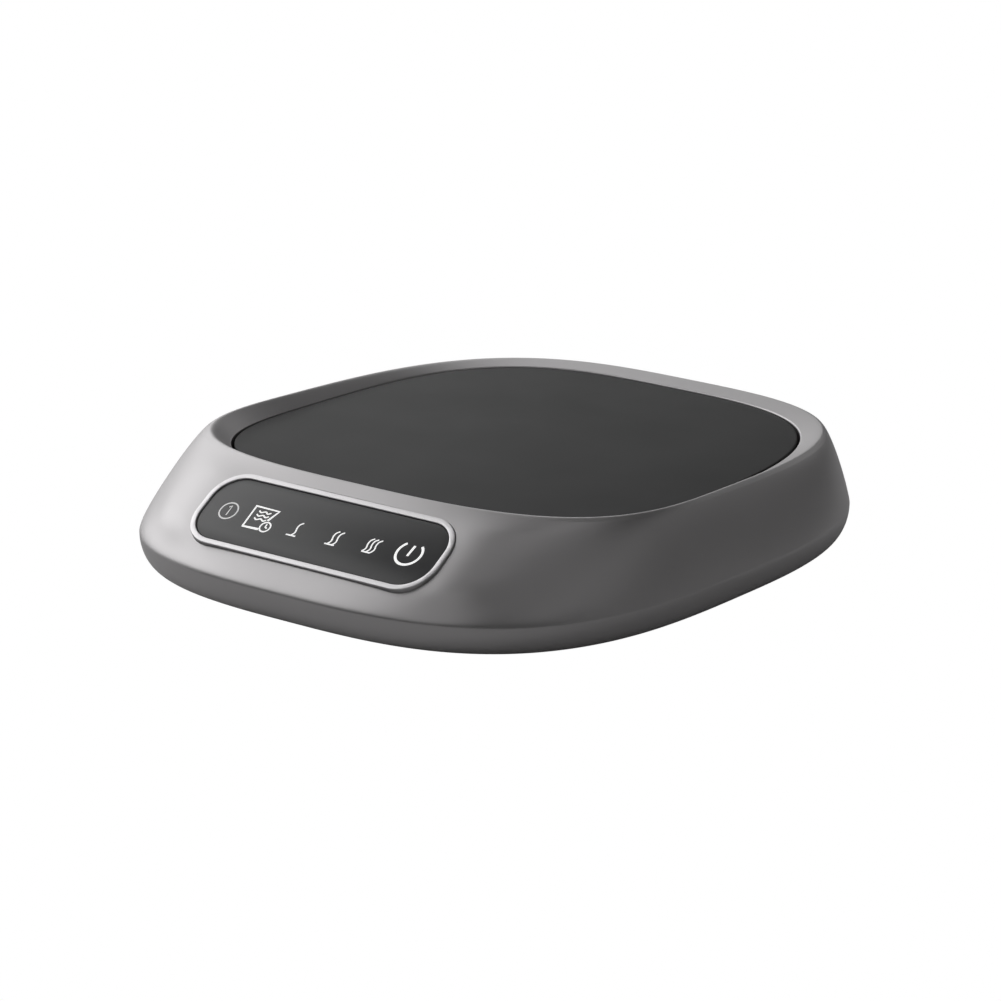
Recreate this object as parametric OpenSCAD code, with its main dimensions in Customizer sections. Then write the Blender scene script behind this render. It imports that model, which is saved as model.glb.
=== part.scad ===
// Electric mug warmer: a low, softly square housing with a sloping control deck in front
// and a sprung heating plate that closes a switch under the weight of a mug.
// Millimetres. +Z up, the control deck faces -Y, the origin is under the middle of the footprint.

/* [Body] */
// Width across the widest line
body_width = 130; // [128:0.5:132]
// Depth across the widest line
body_depth = 143.4; // [142:0.2:145]
// Height of the widest line above the table
waist_z = 8.4; // [8:0.1:9]
// Height of the housing's lower edge
skirt_z = 2; // [1.9:0.1:2.2]
// How far the belly draws in below the widest line
belly_inset = 3.5; // [3:0.1:4]
// Wall thickness of the housing, measured level
wall = 1.8; // [1.6:0.1:2]

/* [Rim] */
// Half width of the rim's crest
crest_half_width = 58.3; // [58:0.1:58.8]
// Crest in front, measured from the origin
crest_front = 47.3; // [47:0.1:47.6]
// Crest at the back, measured from the origin
crest_back = 69; // [68.6:0.1:69.3]
// Height of the crest at mid depth
crest_z = 24.65; // [24.4:0.05:24.9]
// Fall of the crest per millimetre towards the back
crest_fall = 0.0285; // [0.025:0.0005:0.029]
// Height of the rim's inner edge beside the plate
lip_z = 22.5; // [22.4:0.05:22.6]

/* [Heating plate] */
// Half width of the heating plate
plate_half_width = 54.1; // [53.8:0.1:54.3]
// Plate's front edge, measured from the origin
plate_front = 42.1; // [41.8:0.1:42.3]
// Plate's back edge, measured from the origin
plate_back = 61.7; // [61.5:0.1:61.9]
// Height of the plate's top face
plate_z = 22.3; // [22.2:0.05:22.4]
// Thickness of the plate
plate_thick = 3; // [2.8:0.1:3.2]
// Gap between the plate and the rim
plate_gap = 0.65; // [0.5:0.05:0.7]
// How far the plate sinks under a mug
plate_travel = 1; // [0.8:0.1:1.1]

/* [Control panel] */
// Slope of the control panel
panel_slope = 33; // [32.5:0.25:33.5]
// Panel length outside the bezel
panel_length = 64; // [63.4:0.2:64.6]
// Panel height outside the bezel
panel_height = 19.4; // [19:0.2:19.8]
// Corner radius of the panel
panel_corner = 7.8; // [7.4:0.2:8.4]
// Width of the bezel's band
bezel_band = 1.3; // [1.1:0.1:1.5]
// How far the bezel stands proud
bezel_proud = 0.35; // [0.2:0.05:0.5]

/* [Quality] */
// Points round the housing
ring_points = 80; // [64:8:120]
// Facets on round parts
round_facets = 48; // [24:8:96]

/* [Hidden] */
$fn = round_facets;

// Colours
housing_grey = [0.45, 0.45, 0.46];
plate_grey = [0.18, 0.18, 0.18];
bezel_silver = [0.86, 0.86, 0.87];
lens_black = [0.2, 0.2, 0.21];
rubber_black = [0.1, 0.1, 0.1];
plastic_black = [0.14, 0.14, 0.15];
board_green = [0.1, 0.35, 0.2];
steel = [0.7, 0.7, 0.72];
sheet_metal = [0.8, 0.8, 0.82];
fibre_white = [0.92, 0.9, 0.85];
nylon_white = [0.9, 0.9, 0.88];

// Plan outline of a level: half width, front, back, front and back exponents, y of the widest
// point, taper per millimetre, height, fall per millimetre, and how flat the front is drawn.
WAIST = [body_width/2, body_depth/2, body_depth/2, 3, 2.9, 0, 0, waist_z, 0, 0];
CREST = [crest_half_width, crest_front, crest_back, 3.02, 3.14, -2, 0.0005, crest_z, crest_fall, 0];
PLATE = [plate_half_width, plate_front, plate_back, 3.23, 3.17, 1.8, 0.0008, plate_z, 0, 0];

// Profiles between the widest line and the crest, each a Bezier: share of the run, share of the rise.
// The deck in front rises nearly straight, the walls at the sides and at the back are full.
DECK_PROFILE = [[0, 0], [0, 0.07], [0.1, 0.16], [1, 1]];
WALL_PROFILE = [[0, 0], [0.14, 0.26], [0.69, 0.9], [1, 1]];
deck_turn = 0.88;           // sine of the turn from the side within which the profile is the deck's
wall_turn = 0.6;            // sine of the turn from the side up to which it is the wall's
deck_flat = 0.8;            // share of the front's bow taken out beside the panel
deck_flat_to = 30;          // half width that is drawn flat
deck_flat_fade = 20;        // width over which the flat fades into the corner
flat_from = 0.22;           // share of the rise at which the flat is reached
flat_until = 0.88;          // share of the rise at which it starts to go
skin_drop = 1.6;            // how far the inner skin lies below the outer one
skin_top = 0.93;            // where the inner skin ends, as the profile's parameter
belly_levels = 4;
deck_levels = 9;
skin_levels = 6;

// Collar round the plate
collar_thick = 1.5;
collar_low = 18.6;
lip_round = 0.4;

// Panel place, seats and depths below the panel plane
panel_y = -58.5;
panel_z = crest_z + crest_fall*crest_front + (panel_y + crest_front)*tan(panel_slope);
panel_fit = 0.15;
ledge_top = 2.2;
ledge_low = 4.4;
ledge_margin = 2.2;
window_lap = 3;
lens_gap = 0.1;
lens_sink = 0.15;
diffuser_thick = 0.6;
shield_deep = 3.4;
board_thick = 1.2;
icon_pitch = 9.6;
touch_posts = [[-32.6, -3.6], [-32.6, 3.6], [32.6, -3.6], [32.6, 3.6]];
touch_post_radius = 1.9;
touch_pilot_radius = 0.75;
touch_pilot_deep = 2.4;
touch_board_top = ledge_top + diffuser_thick + shield_deep;
touch_board_low = touch_board_top + board_thick;
touch_board_size = [69.6, 15];
touch_board_corner = 2;
cell_size = [7.8, 8];       // opening of the light shield over each icon
chip_place = [-6, -3];
chip_size = [7, 5, 1.1];
led_size = [1.6, 1.2, 0.7];
touch_head_high = 1;

// Base cover
base_low = 1.6;
base_thick = 2;
base_floor = base_low + base_thick;
base_gap = 0.3;
base_inset = belly_inset + wall + base_gap;
rib_inset = base_inset + 0.4;
lip_high = 2.4;
lip_thick = 1.6;
line_inset = base_inset + 3;    // shadow line round the underside
line_wide = 1.2;
line_deep = 0.4;
screw_towers = [[-44, -46], [44, -46], [-36, 54], [36, 54]];
tower_radius = 5;
tower_top = 6.6;
screw_head_radius = 3;
screw_shank_radius = 1.45;
screw_head_seat = 4.6;
screw_head_high = 2;
case_screw_long = 6.6;
boss_radius = [3.5, 3.5, 3.2, 3.2];
boss_top = [19, 19, 14, 14];
boss_pilot_top = 11.5;      // where the pilot holes end
web_size = [2.4, 11.4];     // webs that tie the rear bosses to the back wall
feet = [[-42, -34], [42, -34], [-42, 42], [42, 42]];
foot_radius = 6;
foot_seat = 2.4;
pilot_radius = 1;           // pilot holes of the small screws
pilot_floor = 0.8;          // floor left under them
small_shank_radius = 0.95;

// Heater stack, from the plate down, round the plate's own centre
heater_y = 11;
plate_low = plate_z - plate_thick;
carrier_low = 15.5;
carrier_hole = 45;
carrier_inset = 1;
stop_reach = 1.8;
stop_gap = 0.2;
element_thick = 0.8;
element_radius = 43.5;
pad_radius = 44;
retainer_thick = 0.5;
retainer_radius = 43.5;
ear_radius = 47.5;
ear_size = [19, 8];         // length and width of the four ears
ear_middle = 40;
retainer_head = [1.8, 0.8];
sensor_hole = 3;
fuse_place = [18, heater_y + 12];

// Springs and their guide pins
spring_places = [[-39.5, -24.5], [39.5, -24.5], [-38.5, 43.5], [38.5, 43.5]];
spring_radius = 3.2;
wire_radius = 0.35;
spring_turns = 4.5;
spring_steps = 10;          // rings of points in each turn
spring_low = 8;
guide_pin_radius = 1.5;
guide_pin_low = 6;
guide_clear = 0.2;
spring_post_radius = 4.5;

// Weight switch
switch_x = -48;
switch_y = 24;
switch_size = [5.8, 12.8, 6.4];
switch_low = 6.8;
switch_top = switch_low + switch_size[2];
plunger_size = [2.4, 2.8, 3];
plunger_out = 1.2;
plunger_clear = 0.15;
striker_gap = 0.1;

// Power board, heat shield and cord entry
power_centre = [0, 12];
power_size = [50, 44];
power_low = 5.2;
power_thick = 1.6;
power_top = power_low + power_thick;
power_posts = [for (sx = [-1, 1], sy = [-1, 1]) power_centre + [sx*21, sy*18]];
power_post_radius = 2.4;
power_screw_head = [2.1, 1.2];
shield_low = 12.6;
shield_thick = 0.5;
shield_radius = 39;
shield_rim = [0.5, 1];      // thickness and height of the folded rim
shield_posts = [[-33, 11], [33, 11], [0, -22], [0, 44]];
shield_post_radius = 2.5;
shield_pilot_deep = 6;
gland_z = 10;
gland_bore = 2.6;
gland_neck = 4;
gland_flange = 5.2;
gland_out = 71.6;
gland_in = 64.5;
gland_face = 70.6;
gland_fit = 0.1;
gland_seat = [6.4, 66, 69.9];   // radius and reach of the thickened back wall
clamp_y = 54;
clamp_posts = [[-9, clamp_y], [9, clamp_y]];
clamp_post_radius = 3;
clamp_low = 7;
clamp_high = 10.2;
clamp_size = [24, 6.5];
clamp_head = [2.2, 1.4];

// ---------- Shared geometry ----------

function mix(a, b, t) = a + (b - a)*t;
function clamped(t) = min(1, max(0, t));
function ease(t) = let (c = clamped(t)) c*c*(3 - 2*c);
function bezier(p, s) = pow(1 - s, 3)*p[0] + 3*s*pow(1 - s, 2)*p[1] + 3*s*s*(1 - s)*p[2] + pow(s, 3)*p[3];

// Between two levels: plan values move by the share `run`, height and fall by the share `rise`
function between(low, high, run, rise) = [for (i = [0:9]) mix(low[i], high[i], i < 7 ? run : rise)];

// A level drawn in by `inset`, and lowered by `drop`
function drawn_in(level, inset, drop = 0) =
  [for (i = [0:9]) i < 3 ? level[i] - inset : i == 7 ? level[i] - drop : level[i]];

// The same plan at a height of its own, level and with no flat front
function at_height(level, z) = [for (i = [0:9]) i == 7 ? z : i > 7 ? 0 : level[i]];

function with_flat(level, share) = [for (i = [0:9]) i == 9 ? share : level[i]];

// Softly square outline: one half superellipse in front, another behind
function ring(level) = [
  for (i = [0:ring_points - 1])
    let (
      c = cos(i*360/ring_points),
      s = sin(i*360/ring_points),
      depth = s < 0 ? level[1] + level[5] : level[2] - level[5],
      n = s < 0 ? level[3] : level[4],
      r = pow(pow(abs(c/level[0]), n) + pow(abs(s/depth), n), -1/n),
      x = r*c*(1 - level[6]*r*s),
      y = r*s + level[5],
      flat = s < 0 ? level[9]*ease(1 - (abs(x) - deck_flat_to)/deck_flat_fade) : 0,
      y_flat = mix(y, -level[1], flat)
    )
    [x, y_flat, level[7] - level[8]*y_flat]
];

function outline(level) = [for (p = ring(level)) [p[0], p[1]]];

// Ring that follows `deck` in front and `wall` everywhere else
function blended(deck, wall) =
  let (a = ring(deck), b = ring(wall))
  [
    for (i = [0:ring_points - 1])
      mix(b[i], a[i], ease((-sin(i*360/ring_points) - wall_turn)/(deck_turn - wall_turn)))
  ];

// Bands of triangles between neighbouring rings
function band(low, high) = [
  for (i = [0:ring_points - 1])
    let (j = (i + 1) % ring_points, a = low*ring_points, b = high*ring_points)
    each [[a + i, b + i, b + j], [a + i, b + j, a + j]]
];

// A closed tube of rings: the last one joins the first
module ring_shell(rings) {
  count = len(rings);
  polyhedron(
    points = [for (points = rings) each points],
    faces = [for (k = [0:count - 1]) each band(k, (k + 1) % count)]
  );
}

// A solid stack of levels with a flat bottom and top
module ring_solid(levels) {
  count = len(levels);
  polyhedron(
    points = [for (level = levels) each ring(level)],
    faces = concat(
      [for (k = [0:count - 2]) each band(k, k + 1)],
      [[for (i = [0:ring_points - 1]) i]],
      [[for (i = [ring_points - 1:-1:0]) (count - 1)*ring_points + i]]
    )
  );
}

module plan_prism(level, low, high) {
  translate([0, 0, low]) linear_extrude(high - low) polygon(outline(level));
}

// Rounded rectangle about the origin
module pill(length, height, corner) {
  polygon([
    for (q = [0:3], k = [0:10])
      let (a = 90*q + 9*k, sx = (q == 0 || q == 3) ? 1 : -1, sy = q < 2 ? 1 : -1)
      [sx*(length/2 - corner) + corner*cos(a), sy*(height/2 - corner) + corner*sin(a)]
  ]);
}

// Moves children onto the panel plane: x along the panel, y up the slope, z out of it
module on_panel() {
  translate([0, panel_y, panel_z]) rotate([panel_slope, 0, 0]) children();
}

// A pill-shaped slab between two depths below the panel plane
module panel_slab(inset, deep, shallow) {
  on_panel() translate([0, 0, -deep]) linear_extrude(deep - shallow)
    pill(panel_length - 2*inset, panel_height - 2*inset, panel_corner - inset);
}

module rod(place, radius, low, high) {
  translate([place[0], place[1], low]) cylinder(r = radius, h = high - low);
}

// A rod along y at the height of the cord entry
module entry_rod(radius, from, to) {
  translate([0, from, gland_z]) rotate([-90, 0, 0]) cylinder(r = radius, h = to - from);
}

module slab(centre, size, low, high) {
  translate([centre[0] - size[0]/2, centre[1] - size[1]/2, low]) cube([size[0], size[1], high - low]);
}

// Pan-head screw that points up, its head's lower face at the origin
module screw_up(head_radius, head_high, shank_radius, long) {
  rotate_extrude() polygon([
    [0, 0], [head_radius*0.75, 0], [head_radius, head_high*0.5], [head_radius, head_high],
    [shank_radius, head_high], [shank_radius, head_high + long - shank_radius],
    [shank_radius*0.3, head_high + long], [0, head_high + long]
  ]);
}

// The same kind of screw pointing down, its head resting at a height
module screw_down(place, seat, head, long) {
  translate([place[0], place[1], seat + head[1]]) mirror([0, 0, 1])
    screw_up(head[0], head[1], small_shank_radius, long);
}

// ---------- Casing ----------

// Outer skin from the lower edge to the widest line
BELLY = [
  for (k = [0:belly_levels - 1])
    let (rise = k/belly_levels, inset = belly_inset*(1 - sqrt(1 - pow(1 - rise, 2))))
    at_height(drawn_in(WAIST, inset), mix(skirt_z, waist_z, rise))
];

function flat_share(rise) = deck_flat*ease(rise/flat_from)*ease((1 - rise)/(1 - flat_until));

function side_level(profile, s) =
  let (p = bezier(profile, s))
  with_flat(between(WAIST, CREST, p[0], p[1]), flat_share(p[1]));

// Ring of the outer side between the widest line and the crest, drawn in for the inner skin
function side_ring(s, inset = 0, drop = 0) = blended(
  drawn_in(side_level(DECK_PROFILE, s), inset, drop),
  drawn_in(side_level(WALL_PROFILE, s), inset, drop)
);

SIDE = [for (k = [0:deck_levels]) side_ring(k/deck_levels)];

LIP = at_height(drawn_in(PLATE, -plate_gap), lip_z);

// Over the crest, down to the plate and down the collar
RIM = [
  between(CREST, LIP, 0.18, 0.06),
  between(CREST, LIP, 0.55, 0.5),
  drawn_in(LIP, -lip_round, -0.05),
  drawn_in(LIP, 0, lip_round),
  at_height(LIP, collar_low),
  at_height(drawn_in(LIP, -collar_thick), collar_low)
];

// Inner skin, back down to the lower edge
SKIN = concat(
  [for (k = [0:skin_levels - 1]) side_ring(mix(skin_top, 0, k/skin_levels), wall, skin_drop)],
  [ring(drawn_in(WAIST, wall, 0)), ring(at_height(drawn_in(WAIST, belly_inset + wall), skirt_z))]
);

module panel_ledge() {
  difference() {
    panel_slab(-ledge_margin, ledge_low, ledge_top - 0.4);
    panel_slab(window_lap, ledge_low + 1, -1);
  }
}

module upper_housing() color(housing_grey) difference() {
  union() {
    ring_shell(concat([for (level = BELLY) ring(level)], SIDE, [for (level = RIM) ring(level)], SKIN));
    panel_ledge();
    for (i = [0:3]) rod(screw_towers[i], boss_radius[i], tower_top, boss_top[i]);
    // webs that tie the rear bosses to the back wall
    for (i = [2, 3]) slab(screw_towers[i] + [0, web_size[1]/2], web_size, tower_top, boss_top[i]);
    on_panel() for (p = touch_posts)
      translate([p[0], p[1], -touch_board_top]) cylinder(r = touch_post_radius, h = touch_board_top - ledge_low + 0.3);
    // seat that thickens the back wall round the cord gland
    entry_rod(gland_seat[0], gland_seat[1], gland_seat[2]);
  }
  panel_slab(-panel_fit, ledge_top, -6);
  panel_slab(window_lap, ledge_low + 2, -6);
  for (p = screw_towers) rod(p, screw_shank_radius + 0.05, tower_top - 1, boss_pilot_top);
  on_panel() for (p = touch_posts)
    translate([p[0], p[1], -touch_board_top - 1]) cylinder(r = touch_pilot_radius, h = 1 + touch_pilot_deep);
  entry_rod(gland_neck + gland_fit, 60, 76);
  entry_rod(gland_flange + 2*gland_fit, gland_face, 76);
}

module base_cover() color(plastic_black) difference() {
  union() {
    plan_prism(drawn_in(WAIST, base_inset), base_low, base_floor);
    // upright rib that locates the cover inside the housing
    difference() {
      plan_prism(drawn_in(WAIST, rib_inset), base_floor, base_floor + lip_high);
      plan_prism(drawn_in(WAIST, rib_inset + lip_thick), base_floor - 1, base_floor + lip_high + 1);
    }
    for (p = screw_towers) rod(p, tower_radius, base_low, tower_top);
    for (p = spring_places) rod(p, spring_post_radius, base_floor, spring_low);
    for (p = shield_posts) rod(p, shield_post_radius, base_floor, shield_low);
    for (p = power_posts) rod(p, power_post_radius, base_floor, power_low);
    slab([switch_x, switch_y], switch_size, base_floor, switch_low);
    for (p = clamp_posts) rod(p, clamp_post_radius, base_floor, clamp_low);
  }
  // counterbores and clearance holes for the case screws
  for (p = screw_towers) {
    rod(p, screw_head_radius + 0.3, base_low - 1, screw_head_seat);
    rod(p, screw_shank_radius + 0.25, 4, tower_top + 1);
  }
  for (p = feet) rod(p, foot_radius + 0.2, base_low - 1, foot_seat);
  for (p = spring_places) rod(p, guide_pin_radius + guide_clear, base_floor + pilot_floor, spring_low + 1);
  for (p = shield_posts) rod(p, pilot_radius, shield_low - shield_pilot_deep, shield_low + 1);
  for (p = power_posts) rod(p, pilot_radius, base_low + pilot_floor, power_low + 1);
  for (p = clamp_posts) rod(p, pilot_radius, base_low + pilot_floor, clamp_low + 1);
  // notch in the rib for the cord gland
  slab([0, 65], [13, 6], base_floor + 0.2, 8);
  // shallow shadow line round the underside
  difference() {
    plan_prism(drawn_in(WAIST, line_inset), base_low - 1, base_low + line_deep);
    plan_prism(drawn_in(WAIST, line_inset + line_wide), base_low - 2, base_low + 1);
  }
}

module rubber_feet() color(rubber_black) for (p = feet)
  translate([p[0], p[1], 0]) rotate_extrude() polygon([
    [0, 0.3], [foot_radius - 2.6, 0.3], [foot_radius - 2.2, 0], [foot_radius - 0.6, 0],
    [foot_radius, 0.6], [foot_radius, foot_seat], [0, foot_seat]
  ]);

module case_screws() color(steel) for (i = [0:3])
  translate([screw_towers[i][0], screw_towers[i][1], screw_head_seat - screw_head_high])
    screw_up(screw_head_radius, screw_head_high, screw_shank_radius, case_screw_long);

// Rubber bush that the supply cord passes through
module cord_gland() color(rubber_black) translate([0, 0, gland_z]) rotate([-90, 0, 0]) rotate_extrude() polygon([
  [gland_bore, gland_in], [5, gland_in], [5.6, gland_in + 0.5], [5.6, gland_seat[1]], [gland_neck, gland_seat[1]],
  [gland_neck, gland_face], [gland_flange, gland_face], [gland_flange, gland_out - 0.4],
  [gland_flange - 0.4, gland_out], [gland_bore, gland_out]
]);

module cord_clamp() color(nylon_white) difference() {
  slab([0, clamp_y], clamp_size, clamp_low, clamp_high);
  // half-round channel for the cord
  translate([0, clamp_y - 4, clamp_low - 0.6]) rotate([-90, 0, 0]) cylinder(r = gland_bore, h = 8);
  for (p = clamp_posts) rod(p, pilot_radius + 0.4, clamp_low - 1, clamp_high + 1);
}

module clamp_screws() color(steel) for (p = clamp_posts)
  screw_down(p, clamp_high, clamp_head, 6.4);

// ---------- Control panel ----------

module lens_bezel() color(bezel_silver) difference() {
  union() {
    panel_slab(0, ledge_top, -bezel_proud + 0.2);
    panel_slab(0.2, 0.5, -bezel_proud);
  }
  panel_slab(bezel_band, ledge_top + 1, -1);
}

module control_lens() color(lens_black)
  panel_slab(bezel_band + lens_gap, ledge_top, lens_sink);

module icon_diffuser() color(fibre_white)
  panel_slab(window_lap + 0.2, ledge_top + diffuser_thick, ledge_top);

// Black grid that keeps the light of each icon to itself
module light_shield() color(plastic_black) difference() {
  panel_slab(window_lap + 0.2, touch_board_top, ledge_top + diffuser_thick);
  on_panel() for (k = [-2.5:2.5])
    translate([k*icon_pitch - cell_size[0]/2, -cell_size[1]/2, -touch_board_top - 1])
      cube([cell_size[0], cell_size[1], shield_deep + 2]);
}

module touch_board() color(board_green) difference() {
  on_panel() translate([0, 0, -touch_board_low]) linear_extrude(board_thick)
    pill(touch_board_size[0], touch_board_size[1], touch_board_corner);
  on_panel() for (p = touch_posts)
    translate([p[0], p[1], -touch_board_low - 1]) cylinder(r = touch_pilot_radius + 0.2, h = board_thick + 2);
}

module touch_chip() color(plastic_black) on_panel()
  translate([chip_place[0], chip_place[1], -touch_board_low - chip_size[2]]) cube(chip_size);

module indicator_leds() color(nylon_white) on_panel() for (k = [-2.5:2.5])
  translate([k*icon_pitch - led_size[0]/2, -led_size[1]/2, -touch_board_top]) cube(led_size);

module touch_board_screws() color(steel) on_panel() for (p = touch_posts)
  translate([p[0], p[1], -touch_board_low - touch_head_high])
    screw_up(1.6, touch_head_high, touch_pilot_radius - 0.05, 3);

// Flat lead from the touch board down to the power board
module key_ribbon() color(nylon_white) translate([8, 0, 0]) rotate([90, 0, 90]) linear_extrude(9) polygon([
  [-56.2, 10.95], [-55.4, 9.6], [-52, 5.4], [-46, 4.3], [-15.5, 4.3], [-12.2, 5.2], [-9.2, 5.2], [-9.2, 4.8],
  [-12.1, 4.8], [-15.4, 3.9], [-46.2, 3.9], [-52.3, 5.1], [-55.8, 9.4], [-56.54, 10.73]
]);

// ---------- Power electronics ----------

module power_board() color(board_green) difference() {
  slab(power_centre, power_size, power_low, power_top);
  for (p = power_posts) rod(p, pilot_radius + 0.3, power_low - 1, power_top + 1);
}

module power_board_screws() color(steel) for (p = power_posts)
  screw_down(p, power_top, power_screw_head, 4.2);

module slim_relay() color(plastic_black) slab([-13.5, 20], [10, 20], power_top, power_top + 5.4);

module filter_capacitor() color([0.75, 0.6, 0.2]) slab([11, 24], [13, 6], power_top, power_top + 5.6);

// Small transformer: ferrite core round a wound bobbin
module supply_coil() color([0.25, 0.22, 0.2]) union() {
  slab([9, 6], [14, 4.5], power_top, power_top + 5.6);
  slab([9, 6], [7, 12], power_top, power_top + 5);
}

module mains_fuse() color(sheet_metal) translate([-14, 1, power_top + 2.2]) rotate([90, 0, 0])
  union() {
    cylinder(r = 1.9, h = 8, center = true);
    for (s = [-1, 1]) translate([0, 0, s*4.6]) cylinder(r = 2.2, h = 3, center = true);
  }

module terminal_block() color([0.2, 0.4, 0.3]) difference() {
  slab([0, 30.5], [15, 7], power_top, power_top + 5.6);
  for (k = [-1:1]) translate([k*4.6, 35, power_top + 2.4]) rotate([90, 0, 0]) cylinder(r = 1.4, h = 5);
}

module heat_shield() color(sheet_metal) difference() {
  union() {
    rod([0, heater_y], shield_radius, shield_low, shield_low + shield_thick);
    // folded rim that stiffens the sheet
    difference() {
      rod([0, heater_y], shield_radius, shield_low, shield_low + shield_rim[1]);
      rod([0, heater_y], shield_radius - shield_rim[0], shield_low - 1, shield_low + shield_rim[1] + 1);
    }
  }
  for (p = shield_posts) rod(p, pilot_radius + 0.2, shield_low - 1, shield_low + 2);
}

module heat_shield_screws() color(steel) for (p = shield_posts)
  screw_down(p, shield_low + shield_thick, [2, 0.7], 5);

// ---------- Weight switch ----------

module micro_switch() color(plastic_black) difference() {
  slab([switch_x, switch_y], switch_size, switch_low, switch_top);
  slab([switch_x, switch_y], plunger_size + [2, 2, 0]*plunger_clear,
    switch_top - plunger_size[2] + plunger_out - plate_travel - 0.3, switch_top + 1);
}

module switch_plunger() color([0.75, 0.15, 0.1])
  slab([switch_x, switch_y], plunger_size, switch_top + plunger_out - plunger_size[2], switch_top + plunger_out);

// Coil wire swept along its helix with six sides
function spring_ring(k, steps) =
  let (
    turn = 360*spring_turns*k/steps,
    z = mix(spring_low + wire_radius, carrier_low - wire_radius, k/steps)
  )
  [for (m = [0:5])
    let (r = spring_radius + wire_radius*cos(60*m))
    [r*cos(turn), r*sin(turn), z + wire_radius*sin(60*m)]];

module coil_spring() {
  steps = round(spring_turns*spring_steps);
  polyhedron(
    points = [for (k = [0:steps]) each spring_ring(k, steps)],
    faces = concat(
      [for (k = [0:steps - 1], m = [0:5])
        let (n = (m + 1) % 6, a = 6*k, b = 6*(k + 1))
        each [[a + m, a + n, b + n], [a + m, b + n, b + m]]],
      [[5, 4, 3, 2, 1, 0]],
      [[for (m = [0:5]) 6*steps + m]]
    )
  );
}

module plate_springs() color(steel) for (p = spring_places)
  translate([p[0], p[1], 0]) coil_spring();

// ---------- Heating plate ----------

module heating_plate() color(plate_grey) ring_solid([
  at_height(drawn_in(PLATE, 0.3), plate_low),
  at_height(PLATE, plate_low + 0.3),
  at_height(PLATE, plate_z - lip_round),
  at_height(drawn_in(PLATE, 0.12), plate_z - 0.12),
  at_height(drawn_in(PLATE, lip_round), plate_z)
]);

// Tabs that reach under the collar and stop the plate from rising
module stop_tabs() intersection() {
  plan_prism(drawn_in(PLATE, -stop_reach), carrier_low + 0.8, collar_low - stop_gap);
  union() {
    slab([0, heater_y], [200, 16], 0, 40);
    for (sx = [-1, 1]) slab([sx*18, 10], [12, 200], 0, 40);
  }
}

module plate_carrier() color(plastic_black) difference() {
  union() {
    plan_prism(drawn_in(PLATE, carrier_inset), carrier_low, plate_low);
    stop_tabs();
    for (p = spring_places) rod(p, guide_pin_radius, guide_pin_low, carrier_low + 1);
    slab([switch_x, switch_y], [3, 5], switch_top + plunger_out + striker_gap, carrier_low + 1);
  }
  rod([0, heater_y], carrier_hole, carrier_low - 1, plate_low + 1);
  for (a = [0:90:270])
    rod([ear_radius*cos(a), heater_y + ear_radius*sin(a)], 1, carrier_low - 1, carrier_low + 2.6);
}

module heating_element() color([0.55, 0.45, 0.35]) difference() {
  rod([0, heater_y], element_radius, plate_low - element_thick, plate_low);
  rod([0, heater_y], sensor_hole + 0.2, plate_low - 3, plate_low + 1);
}

module insulation_pad() color(fibre_white) difference() {
  rod([0, heater_y], pad_radius, carrier_low, plate_low - element_thick);
  rod([0, heater_y], sensor_hole + 0.2, carrier_low - 1, plate_low);
  slab(fuse_place, [14, 3.2], carrier_low - 1, plate_low);
}

module heater_retainer() color(sheet_metal) difference() {
  union() {
    rod([0, heater_y], retainer_radius, carrier_low - retainer_thick, carrier_low);
    for (a = [0:90:270]) translate([0, heater_y, 0]) rotate([0, 0, a])
      slab([ear_middle, 0], ear_size, carrier_low - retainer_thick, carrier_low);
  }
  for (a = [0:90:270])
    rod([ear_radius*cos(a), heater_y + ear_radius*sin(a)], 1.2, carrier_low - 1, carrier_low + 1);
}

module retainer_screws() color(steel) for (a = [0:90:270])
  translate([ear_radius*cos(a), heater_y + ear_radius*sin(a), carrier_low - retainer_thick - retainer_head[1]])
    screw_up(retainer_head[0], retainer_head[1], small_shank_radius, 2.8);

module thermistor() color([0.3, 0.3, 0.32]) union() {
  rod([0, heater_y], 1.6, plate_low - 1.4, plate_low);
  rod([0, heater_y], sensor_hole, carrier_low, plate_low - 1.4);
}

module thermal_fuse() color(sheet_metal) translate([fuse_place[0], fuse_place[1], carrier_low + 1.4])
  rotate([0, 90, 0]) union() {
    cylinder(r = 1.3, h = 9, center = true);
    cylinder(r = 0.4, h = 13, center = true);
  }

upper_housing();
base_cover();
rubber_feet();
case_screws();
cord_gland();
cord_clamp();
clamp_screws();
lens_bezel();
control_lens();
icon_diffuser();
light_shield();
touch_board();
touch_chip();
indicator_leds();
touch_board_screws();
key_ribbon();
power_board();
power_board_screws();
slim_relay();
filter_capacitor();
supply_coil();
mains_fuse();
terminal_block();
heat_shield();
heat_shield_screws();
micro_switch();
switch_plunger();
plate_springs();
heating_plate();
plate_carrier();
heating_element();
insulation_pad();
heater_retainer();
retainer_screws();
thermistor();
thermal_fuse();
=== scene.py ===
import math
from collections import namedtuple

import bpy
from bpy.props import FloatProperty, FloatVectorProperty, IntProperty, PointerProperty
from bpy.types import Operator, Panel, PropertyGroup
from mathutils import Matrix, Vector


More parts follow.
